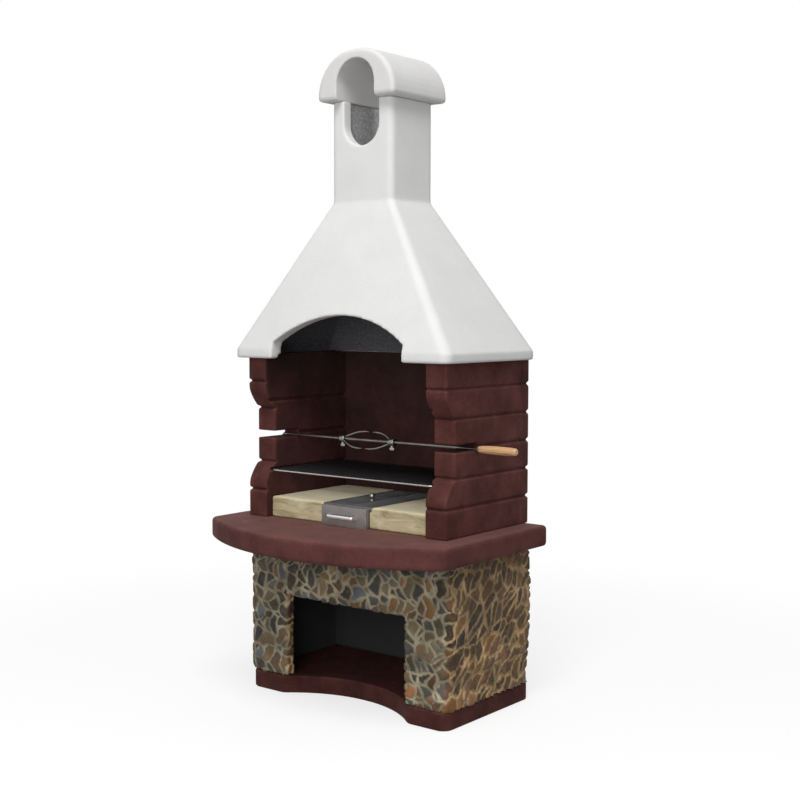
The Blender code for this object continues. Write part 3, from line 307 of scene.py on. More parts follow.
def painted_rubble():
    """Painted rubble face: each stone has one of nine mineral paints, rubbed thin towards its edge, where
    the mortar colour comes through; the joints are sandy mortar; all is matt, the crowns a little less."""
    material, tree, shader, place = new_material("painted_rubble_face")
    stone, tone, face, dressed, side_facing = (add(tree, "Attribute", gives="Fac", attribute_name=name)
                                         for name in ("stone", "tone", "face", "dressed", "side_facing"))
    paints = add(tree, "ValToRGB", {"Fac": stone})
    paints.node.color_ramp.interpolation = "CONSTANT"
    shades = ((0.0, "#4d4d4b"), (0.17, "#625641"), (0.33, "#4d5459"), (0.44, "#6e5a42"), (0.6, "#353433"),
              (0.72, "#615c4b"), (0.81, "#8a6439"), (0.9, "#543c2f"), (0.95, "#96603a"))
    stops = paints.node.color_ramp.elements
    for number, (start, shade) in enumerate(shades):
        stop = stops[number] if number < 2 else stops.new(start)
        stop.position = start
        stop.color = linear(shade)
    lightness = add(tree, "MapRange", {"Value": tone, "To": (0.12, 1.8)})
    # brush marks and mineral blotches, 12 to 25 mm across
    blotch = add(tree, "TexNoise", {"Vector": place, "Scale": 1 / 0.02, "Detail": 4.0, "Roughness": 0.65,
                                    "Distortion": 0.6})
    # the two sides get more ochre than the front, and are darkened as painted shade
    ochre_streak = add(tree, "MapRange", {"Value": blotch, "From": (0.42, 0.62), "To": (0.1, 0.8)})
    ochre_amount = add(tree, "Math", {0: side_facing, 1: ochre_streak}, operation="MULTIPLY")
    warmed = add(tree, "Mix", {0: ochre_amount, 6: paints, 7: "#a4662a"}, data_type="RGBA")
    side_shade = add(tree, "MapRange", {"Value": side_facing, "To": (1.0, 0.6)})
    strength = add(tree, "Math", {0: lightness, 1: side_shade}, operation="MULTIPLY")
    washed = add(tree, "Mix", {0: 1.0, 6: warmed, 7: strength}, data_type="RGBA", blend_type="MULTIPLY")
    blotch_tone = add(tree, "MapRange", {"Value": blotch, "From": (0.42, 0.75), "To": (0, 0.35)})
    blotched = add(tree, "Mix", {0: blotch_tone, 6: washed, 7: "#837560"}, data_type="RGBA")
    rubbed = add(tree, "MapRange", {"Value": face, "From": (0.5, 0.95), "To": (0.75, 0.0)})
    shaded = add(tree, "Mix", {0: rubbed, 6: blotched, 7: "#746852"}, data_type="RGBA")
    # mortar: sand grains, drawn 4 mm wide
    grit = add(tree, "TexNoise", {"Vector": place, "Scale": 1 / 0.004, "Detail": 2.0, "Roughness": 0.7})
    sandy = add(tree, "Mix", {0: grit, 6: "#968c76", 7: "#c9bea2"}, data_type="RGBA")
    # rain and dust leave the mortar lighter and darker in patches of 50 mm or so
    stain = add(tree, "TexNoise", {"Vector": place, "Scale": 1 / 0.05, "Detail": 3.0})
    stain_tone = add(tree, "MapRange", {"Value": stain, "From": (0.35, 0.65), "To": (0.6, 1.1)})
    stained = add(tree, "Mix", {0: 1.0, 6: sandy, 7: stain_tone}, data_type="RGBA", blend_type="MULTIPLY")
    smeared = add(tree, "Math", {0: side_facing, 1: stain}, operation="MULTIPLY")
    mortar = add(tree, "Mix", {0: smeared, 6: stained, 7: "#d0a56c"}, data_type="RGBA")
    in_stone = add(tree, "MapRange", {"Value": face, "From": (0.25, 0.95)}, interpolation_type="SMOOTHSTEP")
    wall = add(tree, "Mix", {0: in_stone, 6: mortar, 7: shaded}, data_type="RGBA")
    # painted shade: the faces without stones, mostly inside the store, are a near-black grey for the dark
    # inside
    plain = add(tree, "Mix", {0: grit, 6: "#303131", 7: "#3e3f3f"}, data_type="RGBA")
    # weather has left the wall paler and darker in patches of 70 mm or so, and the top of the wall under the
    # mantel is darkened as painted shadow
    height = add(tree, "SeparateXYZ", {0: place}, gives="Z")
    mantel_shadow = add(tree, "MapRange", {"Value": height, "From": (0.4, 0.52), "To": (1.0, 0.74)})
    patch = add(tree, "TexNoise", {"Vector": place, "Scale": 1 / 0.07, "Detail": 2.0})
    patch_tone = add(tree, "MapRange", {"Value": patch, "From": (0.32, 0.68), "To": (0.62, 1.35)})
    patches_and_mantel_shadow = add(tree, "Math", {0: mantel_shadow, 1: patch_tone}, operation="MULTIPLY")
    darkened = add(tree, "Mix", {0: 1.0, 6: wall, 7: patches_and_mantel_shadow}, data_type="RGBA", blend_type="MULTIPLY")
    whole = add(tree, "Mix", {0: dressed, 6: plain, 7: darkened}, data_type="RGBA")
    hewn = add(tree, "TexNoise", {"Vector": place, "Scale": 1 / 0.009, "Detail": 4.0, "Roughness": 0.6})
    hewn_bump = add(tree, "Bump", {"Height": hewn, "Strength": 0.7, "Distance": 0.003})
    grit_bump = add(tree, "Bump", {"Height": grit, "Strength": 0.4, "Distance": 0.001, "Normal": hewn_bump})
    gloss = add(tree, "MapRange", {"Value": face, "To": (0.92, 0.66)})
    fill(shader, {"Base Color": whole, "Normal": grit_bump, "Roughness": gloss, "Specular IOR Level": 0.3})
    return material


store = cast("rubble_faced_store", ["store_left_leg", "store_right_leg", "store_lintel", "store_back"],
             net_size=0.0038, wear_rounds=4)
rubble(store)
store.data.materials.append(painted_rubble())
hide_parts("store_left_leg", "store_right_leg", "store_lintel", "store_back")
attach(store, "masonry")


# Mantel slab: the same red-brown concrete as the plinth, poured top up and floated smooth. Its top is paler,
# partly from the floating and partly as painted light from above, and its arrises are rounded by the mould.
# It lies in mortar on the log store.

mantel = cast("mantel_shelf", ["mantel_slab"], net_size=0.0043, wear_rounds=3)
mantel.data.materials.append(pigmented_concrete("red_pigmented_concrete_mantel", body="#653a36",
                                                pale="#94706a", dark="#52302d", floated_and_top_light=0.25))
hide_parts("mantel_slab")
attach(mantel, "masonry")


# Firebox: two side panels and a back panel of refractory concrete with dark brown-red pigment. Each is one
# casting that looks like six courses, with raked joints outside and slots inside for the grill. The inside
# faces are darker than the outside, as painted shade.

def refractory_with_painted_shade(name, body, pale, dark):
    """Pigmented refractory concrete with painted shade on the faces turned to the fire: an uneven near-black
    film, thickest under the hood.
    """
    material = pigmented_concrete(name, body, pale, dark)
    tree = material.node_tree
    shader = next(item for item in tree.nodes if item.type == "BSDF_PRINCIPLED")
    plain = shader.inputs["Base Color"].links[0].from_socket
    hearth = add(tree, "Attribute", gives="Fac", attribute_name="hearth_side")
    place = add(tree, "TexCoord", gives="Object")
    shade_mottle = add(tree, "TexNoise", {"Vector": place, "Scale": 1 / 0.15, "Detail": 3.0, "Roughness": 0.55})
    cover = add(tree, "MapRange", {"Value": shade_mottle, "From": (0.3, 0.7), "To": (0.3, 0.6)})
    # the top 200 mm, under the hood, are blacker: painted shade under the hood
    height = add(tree, "SeparateXYZ", {0: place}, gives="Z")
    hood_overhang_shade = add(tree, "MapRange", {"Value": height, "From": (1.0, 1.2), "To": (0, 0.4)})
    shade_strength = add(tree, "Math", {0: cover, 1: hood_overhang_shade})
    inner_shade = add(tree, "Math", {0: shade_strength, 1: hearth}, operation="MULTIPLY")
    # painted shade: the inner faces are darkened towards a near-black brown
    inner_shaded = add(tree, "Mix", {0: inner_shade, 6: plain, 7: "#221b1b"}, data_type="RGBA")
    fill(shader, {"Base Color": inner_shaded})
    return material


panel_inner_x = 0.3475
back_panel_y = 0.1878
# the painted shade fades out over this depth, this far behind the inner faces
shade_fade, shade_past = 0.003, 0.004
for name, node in (("firebox_left_panel", "left_side_panel"), ("firebox_right_panel", "right_side_panel")):
    panel = cast(name, [node], net_size=0.0028, wear_rounds=4)
    inwards = panel_inner_x - np.abs(values_of(panel.data.vertices, "co", 3)[:, 0])
    note(panel.data, "hearth_side", np.clip((inwards + shade_past) / shade_fade, 0, 1))
    panel.data.materials.append(refractory_with_painted_shade(f"brown_refractory_{node}", body="#613733", pale="#94695f",
                                                 dark="#4a2824"))
    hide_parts(node)
    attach(panel, "masonry")

fire_back = cast("firebox_back_panel", ["back_panel"], net_size=0.0035, wear_rounds=5)
inwards = back_panel_y - values_of(fire_back.data.vertices, "co", 3)[:, 1]
note(fire_back.data, "hearth_side", np.clip((inwards + shade_past) / shade_fade, 0, 1))
# painted shade: the back panel's colours are a darker copy of the side panels', for the deep shade at the
# back of the firebox
fire_back.data.materials.append(refractory_with_painted_shade("brown_refractory_back", body="#56312d", pale="#75514a",
                                                 dark="#42251f"))
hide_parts("back_panel")
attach(fire_back, "masonry")


# Hearth blocks: two pale yellow firebricks, pressed and fired, then sawn to size. Iron in the clay
# leaves tan streaks along the pressing. They lie loose on the mantel, with a ledge for the grate.

def fireclay(name):
    """Fired clay: buff with tan and grey streaks along the press direction, chalky, fine open pores."""
    material, tree, shader, place = new_material(name)
    # streaks: 110 mm long and 24 mm thick, as the clay flowed in the press
    stretched = add(tree, "Mapping", {"Vector": place, "Scale": (1 / 0.11, 1 / 0.06, 1 / 0.024)})
    streak = add(tree, "TexNoise", {"Vector": stretched, "Scale": 1.0, "Detail": 3.0, "Roughness": 0.55,
                                    "Distortion": 0.8})
    shades = add(tree, "ValToRGB", {"Fac": streak})
    stops = shades.node.color_ramp.elements
    stops[0].position, stops[0].color = 0.3, linear("#a1956f")
    stops[1].position, stops[1].color = 0.68, linear("#d8cdab")
    middle = stops.new(0.48)
    middle.color = linear("#c5b892")
    pores = add(tree, "TexNoise", {"Vector": place, "Scale": 1 / 0.0035, "Detail": 3.0, "Roughness": 0.7})
    fleck = add(tree, "MapRange", {"Value": pores, "From": (0.3, 0.7), "To": (0.86, 1.08)})
    flecked = add(tree, "Mix", {0: 1.0, 6: shades, 7: fleck}, data_type="RGBA", blend_type="MULTIPLY")
    wear_and_crease_shade = add(tree, "Attribute", gives="Fac", attribute_name="wear_and_crease_shade")
    chalk = add(tree, "MapRange", {"Value": wear_and_crease_shade, "From": (0.2, 1.2), "To": (0, 0.5)})
    edged = add(tree, "Mix", {0: chalk, 6: flecked, 7: "#efe8d0"}, data_type="RGBA")
    # the tops are paler: painted light falling on them
    up = add(tree, "SeparateXYZ", {0: add(tree, "NewGeometry", gives="Normal")}, gives="Z")
    level = add(tree, "MapRange", {"Value": up, "From": (0.7, 0.95), "To": (0, 0.65)})
    top_lit = add(tree, "Mix", {0: level, 6: edged, 7: "#f1e7c8"}, data_type="RGBA")
    bump = add(tree, "Bump", {"Height": pores, "Strength": 0.5, "Distance": 0.0012})
    matt = add(tree, "MapRange", {"Value": pores, "From": (0.3, 0.7), "To": (0.97, 0.8)})
    fill(shader, {"Base Color": top_lit, "Normal": bump, "Roughness": matt, "Specular IOR Level": 0.25})
    return material


for name, node in (("hearth_firebrick_left", "hearth_block_left"),
                   ("hearth_firebrick_right", "hearth_block_right")):
    brick = cast(name, [node], net_size=0.0025, wear_rounds=5)
    brick.data.materials.append(fireclay(f"buff_fireclay_{node}"))
    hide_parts(node)
    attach(brick, "masonry")


# Fire grate: one plate of grey cast iron with two columns of slots for the ash, as cast and left
# unpainted. It drops into the ledges of the firebricks, flush with their tops.

def smoothed(builder, mesh, crease=math.radians(40)):
    """Hands a finished shape over to a mesh, smooth but for the edges that turn by more than the crease."""
    builder.to_mesh(mesh)
    builder.free()
    mesh.shade_smooth()
    mesh.set_sharp_from_angle(angle=crease)
    return mesh


def rounded(name, node, radius, steps):
    """A metal piece from its solid, with every edge rounded to a real radius."""
    builder = solid_of([node])
    bmesh.ops.dissolve_limit(builder, angle_limit=math.radians(0.6), verts=builder.verts,
                             edges=builder.edges)
    sharp = [edge for edge in builder.edges if len(edge.link_faces) == 2
             and edge.calc_face_angle(0) > math.radians(35)]
    handled = builder.faces.layers.float.new("handled")
    made = bmesh.ops.bevel(builder, geom=sharp, offset=radius, offset_type="OFFSET", segments=steps,
                           profile=0.5, affect="EDGES", clamp_overlap=True)
    # marks the rounded edges, which hands and tools rub first
    for face in made["faces"]:
        face[handled] = 1.0
    part = in_scene(name, smoothed(builder, bpy.data.meshes.new(name)))
    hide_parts(node)
    return part


def grey_cast_iron():
    """Grey cast iron from a sand mould: blue-grey skin, a pebbled surface, dull highlights, rubbed edges."""
    material, tree, shader, place = new_material("grey_cast_iron_grate")
    skin = add(tree, "TexNoise", {"Vector": place, "Scale": 1 / 0.05, "Detail": 4.0, "Roughness": 0.6})
    tone = add(tree, "Mix", {0: skin, 6: "#58585a", 7: "#7c7b7b"}, data_type="RGBA")
    # the poker has rubbed the edges of the slots bright
    edge = add(tree, "Attribute", gives="Fac", attribute_name="handled")
    rubbed = add(tree, "Math", {0: edge, 1: skin}, operation="MULTIPLY")
    bright = add(tree, "Mix", {0: rubbed, 6: tone, 7: "#a3a2a1"}, data_type="RGBA")
    # moulding sand leaves pebbles about 1.5 mm across, drawn 3 mm wide
    pebble = add(tree, "TexVoronoi", {"Vector": place, "Scale": 1 / 0.003})
    bump = add(tree, "Bump", {"Height": pebble, "Strength": 0.5, "Distance": 0.0006})
    dull = add(tree, "MapRange", {"Value": skin, "To": (0.5, 0.75)})
    fill(shader, {"Base Color": bright, "Normal": bump, "Roughness": dull, "Metallic": 0.55})
    return material


grate = rounded("fire_grate_plate", "fire_grate", radius=0.0008, steps=2)
grate.data.materials.append(grey_cast_iron())
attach(grate, "grate")


# Grate knob: turned from bright steel bar and riveted through the grate, so that a hook can
# lift the plate out.

def turned(name, profile, place, axis, sides):
    """A piece turned on a lathe: a profile of (distance along the axis, radius), spun round."""
    builder = bmesh.new()
    along, out = Vector((1, 0, 0)), Vector((0, 0, 1))
    if axis == "Z":
        along, out = out, along
    points = [builder.verts.new(along * run + out * radius) for run, radius in profile]
    edges = [builder.edges.new(pair) for pair in zip(points, points[1:])]
    if profile[0][1] > 0:
        edges.append(builder.edges.new((points[-1], points[0])))
    bmesh.ops.spin(builder, geom=points + edges, cent=(0, 0, 0), axis=along, angle=math.tau, steps=sides,
                   use_merge=True)
    bmesh.ops.remove_doubles(builder, verts=builder.verts, dist=0.00001)
    bmesh.ops.recalc_face_normals(builder, faces=builder.faces)
    bmesh.ops.translate(builder, verts=builder.verts, vec=place)
    return in_scene(name, smoothed(builder, bpy.data.meshes.new(name)))


def turned_steel(name, shade, axis):
    """Bright steel off a lathe: fine rings round the piece and a slightly smoky tone from the fire."""
    material, tree, shader, place = new_material(name)
    # feed marks 0.2 mm apart, drawn 1.5 mm apart, and alike for 125 mm across the piece
    pitch, alike = 1 / 0.0015, 1 / 0.125
    squash = (pitch, alike, alike) if axis == "X" else (alike, alike, pitch)
    rings = add(tree, "Mapping", {"Vector": place, "Scale": squash})
    marks = add(tree, "TexNoise", {"Vector": rings, "Scale": 1.0, "Detail": 2.0})
    smoke = add(tree, "TexNoise", {"Vector": place, "Scale": 1 / 0.03, "Detail": 3.0})
    tint = add(tree, "Mix", {0: smoke, 6: shade, 7: "#5d5753"}, data_type="RGBA")
    rough = add(tree, "MapRange", {"Value": marks, "To": (0.28, 0.48)})
    bump = add(tree, "Bump", {"Height": marks, "Strength": 0.15, "Distance": 0.0003})
    fill(shader, {"Base Color": tint, "Roughness": rough, "Normal": bump, "Metallic": 1.0})
    return material


knob_low, knob_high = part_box("grate_knob")
knob_foot = ((knob_low.x + knob_high.x) / 2, (knob_low.y + knob_high.y) / 2, knob_low.z)
# a flange on the plate, a neck, and a ball head that starts 64 degrees below its middle
flange, neck, head, head_start, head_steps = 0.0085, 0.0042, 0.0105, -64, 16
knob_top = knob_high.z - knob_low.z
knob_profile = [(0, 0), (0, 0.0083), (0.0006, flange), (0.0024, flange), (0.003, 0.008), (0.0034, 0.0046),
                (0.0048, neck)]
for step in range(head_steps + 1):
    bend = math.radians(head_start + (90 - head_start) * step / head_steps)
    knob_profile.append((knob_top - head + head * math.sin(bend), head * math.cos(bend)))
knob_profile[-1] = (knob_top, 0)
knob = turned("grate_lifting_knob", knob_profile, knob_foot, "Z", 32)
knob.data.materials.append(turned_steel("bright_turned_steel_knob", "#c9c6c2", "Z"))
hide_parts("grate_knob")
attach(knob, "grate")


# Ash drawer: a tray and a pan-shaped front, folded from 1.5 mm steel sheet and spot welded. The front
# has a coat of dark grey heat-resistant paint, baked on; the tray is left bare and dull.

def heat_paint():
    """Heat-resistant silicone paint on sheet steel: dark warm grey, satin, with a fine sprayed orange peel
    and faint ash dust."""
    material, tree, shader, place = new_material("baked_heat_paint")
    dust = add(tree, "TexNoise", {"Vector": place, "Scale": 1 / 0.025, "Detail": 4.0, "Roughness": 0.65})
    tone = add(tree, "Mix", {0: dust, 6: "#706c6a", 7: "#928d89"}, data_type="RGBA")
    # the coat is thin on the folds, and has chipped there to the steel in places
    edge = add(tree, "Attribute", gives="Fac", attribute_name="handled")
    chip = add(tree, "MapRange", {"Value": dust, "From": (0.48, 0.56)})
    chipped = add(tree, "Math", {0: edge, 1: chip}, operation="MULTIPLY")
    coat = add(tree, "Mix", {0: chipped, 6: tone, 7: "#b9b6b3"}, data_type="RGBA")
    # orange peel about 2 mm across
    peel = add(tree, "TexNoise", {"Vector": place, "Scale": 1 / 0.002, "Detail": 1.0})
    bump = add(tree, "Bump", {"Height": peel, "Strength": 0.2, "Distance": 0.0003})
    satin = add(tree, "MapRange", {"Value": dust, "To": (0.34, 0.55)})
    fill(shader, {"Base Color": coat, "Normal": bump, "Roughness": satin, "Metallic": 0.2})
    return material


def bare_sheet():
    """Cold-rolled steel sheet: grey with rolling lines along its length and a mottled oxide bloom."""
    material, tree, shader, place = new_material("bare_rolled_sheet")
    lines = add(tree, "Mapping", {"Vector": place, "Scale": (1 / 0.0015, 1 / 0.2, 1 / 0.0015)})
    rolled = add(tree, "TexNoise", {"Vector": lines, "Scale": 1.0, "Detail": 2.0})
    bloom = add(tree, "TexNoise", {"Vector": place, "Scale": 1 / 0.04, "Detail": 4.0})
    tone = add(tree, "Mix", {0: bloom, 6: "#8b8b8c", 7: "#5d5b59"}, data_type="RGBA")
    # sliding in and out keeps the edges bright
    edge = add(tree, "Attribute", gives="Fac", attribute_name="handled")
    bright = add(tree, "Mix", {0: edge, 6: tone, 7: "#a9a9aa"}, data_type="RGBA")
    rough = add(tree, "MapRange", {"Value": rolled, "To": (0.35, 0.6)})
    fill(shader, {"Base Color": bright, "Roughness": rough, "Metallic": 0.9})
    return material


drawer_front = rounded("ash_drawer_folded_front", "ash_drawer_front", radius=0.0006, steps=2)
drawer_front.data.materials.append(heat_paint())
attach(drawer_front, "ash_drawer")
drawer_tray = rounded("ash_drawer_folded_tray", "ash_drawer_tray", radius=0.0005, steps=2)
drawer_tray.data.materials.append(bare_sheet())
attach(drawer_tray, "ash_drawer")


# Drawer handle: flat steel strip bent to a U over a former, chrome plated, and fixed to the front
# with one rivet behind each end.

def chrome_plate(name, shade, hazed, dullness):
    """Bright chrome over nickel: near-mirror where new, hazed and duller where smoke has been at it."""
    material, tree, shader, place = new_material(name)
    haze = add(tree, "TexNoise", {"Vector": place, "Scale": 1 / 0.012, "Detail": 4.0, "Roughness": 0.7})
    tone = add(tree, "Mix", {0: haze, 6: shade, 7: hazed}, data_type="RGBA")
    # fingers keep the edges free of haze
    edge = add(tree, "Attribute", gives="Fac", attribute_name="handled")
    wiped = add(tree, "Mix", {0: edge, 6: tone, 7: shade}, data_type="RGBA")
    rough = add(tree, "MapRange", {"Value": haze, "To": (dullness, dullness + 0.18)})
    fill(shader, {"Base Color": wiped, "Roughness": rough, "Metallic": 1.0})
    return material


handle = rounded("ash_drawer_strip_handle", "ash_drawer_handle", radius=0.0008, steps=3)
handle.data.materials.append(chrome_plate("chrome_plated_strip", shade="#faf9f7", hazed="#efeeec",
                                          dullness=0.22))
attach(handle, "ash_drawer")


# Cooking grill: a frame of 6 mm steel wire bent round its corners and butt welded, with 4 mm bars
# resistance welded on top from front to back and one cross wire below, then chrome plated.

# how far a wire's cut end is drawn in, and to what, as shares of its radius
nib_share, nib_radius_share = 0.35, 0.7


def tube(builder, stations, sides, closed=False):
    """Adds a tube to a shape: a ring of corners at each station, which is a centre, two directions across
    the tube and a radius, joined with faces."""
    angles = [math.tau * turn / sides for turn in range(sides)]
    rings = [[builder.verts.new(centre + (side * math.cos(angle) + lift * math.sin(angle)) * radius)
              for angle in angles] for centre, side, lift, radius in stations]
    for near, far in list(zip(rings, rings[1:])) + ([(rings[-1], rings[0])] if closed else []):
        for turn in range(sides):
            after = (turn + 1) % sides
            builder.faces.new((near[turn], near[after], far[after], far[turn]))
    if not closed:
        builder.faces.new(rings[0][::-1])
        builder.faces.new(rings[-1])


def wire_run(builder, path, radius, sides, closed=False):
    """Adds one drawn wire along a flat path to a shape, its cut ends slightly rounded."""
    points = [Vector(point) for point in path]
    radii = [radius] * len(points)
    if not closed:
        first, last = (points[1] - points[0]).normalized(), (points[-1] - points[-2]).normalized()
        nib = radius * nib_share
        points = [points[0] - first * nib] + points + [points[-1] + last * nib]
        radii = [radius * nib_radius_share] + radii + [radius * nib_radius_share]
    count = len(points)
    stations = []
    for index, point in enumerate(points):
        ahead = points[(index + 1) % count] if closed else points[min(index + 1, count - 1)]
        behind = points[index - 1] if closed else points[max(index - 1, 0)]
        flow = (ahead - behind).normalized()
        across = Vector((0, 0, 1)) if abs(flow.z) < 0.9 else Vector((0, 1, 0))
        side = flow.cross(across).normalized()
        lift = side.cross(flow).normalized()
        stations.append((point, side, lift, radii[index]))
    tube(builder, stations, sides, closed)


def shaded_bar_wire():
    """Dark blue-grey wire, dull and patchy: painted shade and dark reflections on the grill's bars."""
    material, tree, shader, place = new_material("bar_wire_painted_shade")
    dark_patches = add(tree, "TexNoise", {"Vector": place, "Scale": 1 / 0.02, "Detail": 4.0, "Roughness": 0.65})
    tone = add(tree, "Mix", {0: dark_patches, 6: "#232226", 7: "#454345"}, data_type="RGBA")
    rough = add(tree, "MapRange", {"Value": dark_patches, "To": (0.4, 0.7)})
    bump = add(tree, "Bump", {"Height": dark_patches, "Strength": 0.3, "Distance": 0.0005})
    fill(shader, {"Base Color": tone, "Roughness": rough, "Normal": bump, "Metallic": 0.8})
    return material


grill_low, grill_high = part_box("cooking_grill")
# radii of the frame, the cross wire and the bars
frame_wire, cross_wire, bar_wire = 0.003, 0.0027, 0.002
bar_count, bar_step, bar_overhang, weld_sink = 39, 0.0175, 0.0022, 0.001
grill_axis_z = grill_low.z + frame_wire * math.cos(math.radians(30))
left, right = grill_low.x + frame_wire, grill_high.x - frame_wire
front, back = grill_low.y + frame_wire, grill_high.y - frame_wire
corner, corner_steps = 0.02, 8
loop = []
for centre, start in (((left + corner, front + corner), 180), ((right - corner, front + corner), 270),
                      ((right - corner, back - corner), 0), ((left + corner, back - corner), 90)):
    for step in range(corner_steps + 1):
        bend = math.radians(start + 90 * step / corner_steps)
        loop.append((centre[0] + corner * math.cos(bend), centre[1] + corner * math.sin(bend), grill_axis_z))
builder = bmesh.new()
wire_run(builder, loop, frame_wire, sides=14, closed=True)
middle_y = (front + back) / 2
wire_run(builder, [(left, middle_y, grill_axis_z), (right, middle_y, grill_axis_z)], cross_wire, sides=12)
# the bars lie on the frame, sunk a little where they are welded to it
bar_z = grill_axis_z + frame_wire + bar_wire - weld_sink
frame_faces = len(builder.faces)
for bar in range(bar_count):
    bar_x = (bar - bar_count // 2) * bar_step
    wire_run(builder, [(bar_x, front - bar_overhang, bar_z), (bar_x, back + bar_overhang, bar_z)], bar_wire,
             sides=12)
bmesh.ops.recalc_face_normals(builder, faces=builder.faces)
builder.faces.ensure_lookup_table()
# the bars take the second material, whose dark grey is painted shade and reflection
for face in builder.faces[frame_faces:]:
    face.material_index = 1
wires = smoothed(builder, bpy.data.meshes.new("cooking_grill_wires"), crease=math.radians(50))
grill = in_scene("cooking_grill_wires", wires)
grill.data.materials.append(chrome_plate("chrome_plated_wire", shade="#cbc8c5", hazed="#a3a09d",
                                         dullness=0.24))
grill.data.materials.append(shaded_bar_wire())
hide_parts("cooking_grill")
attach(grill, "grill")


# Spit: a 10 mm bright steel bar ground to a blunt point, pushed through a turned steel ferrule into a
# grip of beech turned on a copying lathe and oiled.

rod_low, rod_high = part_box("spit_rod")
spit_y, spit_z = (rod_low.y + rod_high.y) / 2, (rod_low.z + rod_high.z) / 2
rod_length, rod_radius = rod_high.x - rod_low.x, 0.005
# the point is blunt and 24 mm long
rod_profile = [(0, 0), (0.0002, 0.0009), (0.001, 0.0014), (0.012, 0.0034), (0.022, 0.0049),
               (0.024, rod_radius), (rod_length, rod_radius), (rod_length, 0)]
rod = turned("spit_bar", rod_profile, (rod_low.x, spit_y, spit_z), "X", 32)
rod.data.materials.append(turned_steel("drawn_steel_bar", "#98928e", "X"))
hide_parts("spit_rod")
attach(rod, "spit")

ferrule_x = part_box("spit_ferrule")[0].x
# what sits on the bar is bored 0.3 mm wider than it; the ferrule has one groove
bore, ferrule_radius, groove_radius, ferrule_length = 0.0053, 0.0095, 0.009, 0.01
ferrule_profile = [(0, bore), (0, 0.0078), (0.0004, 0.0082), (0.0014, 0.0093), (0.002, ferrule_radius),
                   (0.0044, ferrule_radius), (0.0048, groove_radius), (0.0056, groove_radius),
                   (0.006, ferrule_radius), (ferrule_length, ferrule_radius), (ferrule_length, bore)]
ferrule = turned("spit_collar", ferrule_profile, (ferrule_x, spit_y, spit_z), "X", 40)
ferrule.data.materials.append(turned_steel("dull_turned_steel_collar", "#77716c", "X"))
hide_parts("spit_ferrule")
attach(ferrule, "spit")


def oiled_beech():
    """Oiled beech: honey coloured, with straight grain along the grip, short dark ray flecks and a satin
    sheen."""
    material, tree, shader, place = new_material("oiled_beech")
    # growth lines 2 to 3 mm apart that run the length of the grip, drawn 3.5 mm apart
    grain_space = add(tree, "Mapping", {"Vector": place, "Scale": (1 / 0.14, 1 / 0.0035, 1 / 0.0035)})
    grain = add(tree, "TexNoise", {"Vector": grain_space, "Scale": 1.0, "Detail": 3.0, "Roughness": 0.6,
                                   "Distortion": 0.4})
    shades = add(tree, "ValToRGB", {"Fac": grain})
    stops = shades.node.color_ramp.elements
    stops[0].position, stops[0].color = 0.32, linear("#ad7642")
    stops[1].position, stops[1].color = 0.66, linear("#e8c294")
    # ray flecks: 3 mm long and 0.5 mm thick, drawn about twice as large
    fleck_space = add(tree, "Mapping", {"Vector": place, "Scale": (1 / 0.006, 1 / 0.0012, 1 / 0.0012)})
    flecks = add(tree, "TexVoronoi", {"Vector": fleck_space, "Scale": 1.0})
    fleck = add(tree, "MapRange", {"Value": flecks, "From": (0.12, 0.3), "To": (0.78, 1.0)})
    wood = add(tree, "Mix", {0: 1.0, 6: shades, 7: fleck}, data_type="RGBA", blend_type="MULTIPLY")
    bump = add(tree, "Bump", {"Height": grain, "Strength": 0.25, "Distance": 0.0004})
    # the oil has sunk deeper into the early wood, which is duller
    satin = add(tree, "MapRange", {"Value": grain, "From": (0.3, 0.7), "To": (0.46, 0.26)})
    fill(shader, {"Base Color": wood, "Normal": bump, "Roughness": satin})
    return material


grip_low, grip_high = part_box("spit_handle")
grip_length, grip_radius = grip_high.x - grip_low.x, (grip_high.z - grip_low.z) / 2
# (share of the length, share of the radius) at the turner's gauge points
grip_shares = ((0.0, 0.66), (0.006, 0.7), (0.03, 0.8), (0.1, 0.88), (0.24, 0.96), (0.45, 1.0), (0.66, 0.98),
               (0.84, 0.94), (0.93, 0.9), (0.965, 0.83), (0.985, 0.7), (0.996, 0.48))
# a smooth profile through them, up to the rounded end
runs = np.linspace(0, 0.996, 60)
radii = np.interp(runs, [run for run, _ in grip_shares], [share for _, share in grip_shares])
radii = np.convolve(np.pad(radii, 2, mode="edge"), [0.1, 0.2, 0.4, 0.2, 0.1], mode="valid")
radii = np.minimum(radii, 1.0)
socket_depth = 0.0605
grip_profile = [(socket_depth, 0), (socket_depth, bore), (0, bore)]
grip_profile += [(run * grip_length, share * grip_radius) for run, share in zip(runs, radii)]
grip_profile.append((grip_length, 0))
grip = turned("spit_grip", grip_profile, (grip_low.x, spit_y, spit_z), "X", 40)
grip.data.materials.append(oiled_beech())
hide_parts("spit_handle")
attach(grip, "spit")


# Forks: a turned steel hub that slides on the bar, with two prongs of 6 mm wire forged to a point,
# bowed outwards and welded into the hub, the whole chrome plated.

fork_spacing, fork_middle = 0.219, -0.0245
# a prong runs this far and bows out this far; its path is in shares of both
prong_start, prong_reach, prong_bow = 0.005, 0.098, 0.034
prong_radius, tip_radii, prong_sides = 0.003, (0.0028, 0.0019, 0.0008), 14
prong_path_shares = ((0.0, 0.27), (0.05, 0.285), (0.09, 0.31), (0.13, 0.37), (0.18, 0.45), (0.24, 0.54),
                     (0.3, 0.63), (0.37, 0.72), (0.45, 0.81), (0.52, 0.88), (0.6, 0.93), (0.68, 0.965),
                     (0.76, 0.99), (0.83, 1.0), (0.9, 1.0), (1.0, 0.98))
prong_angle = math.radians(53)
hub_reach, hub_radius = 0.013, 0.0125
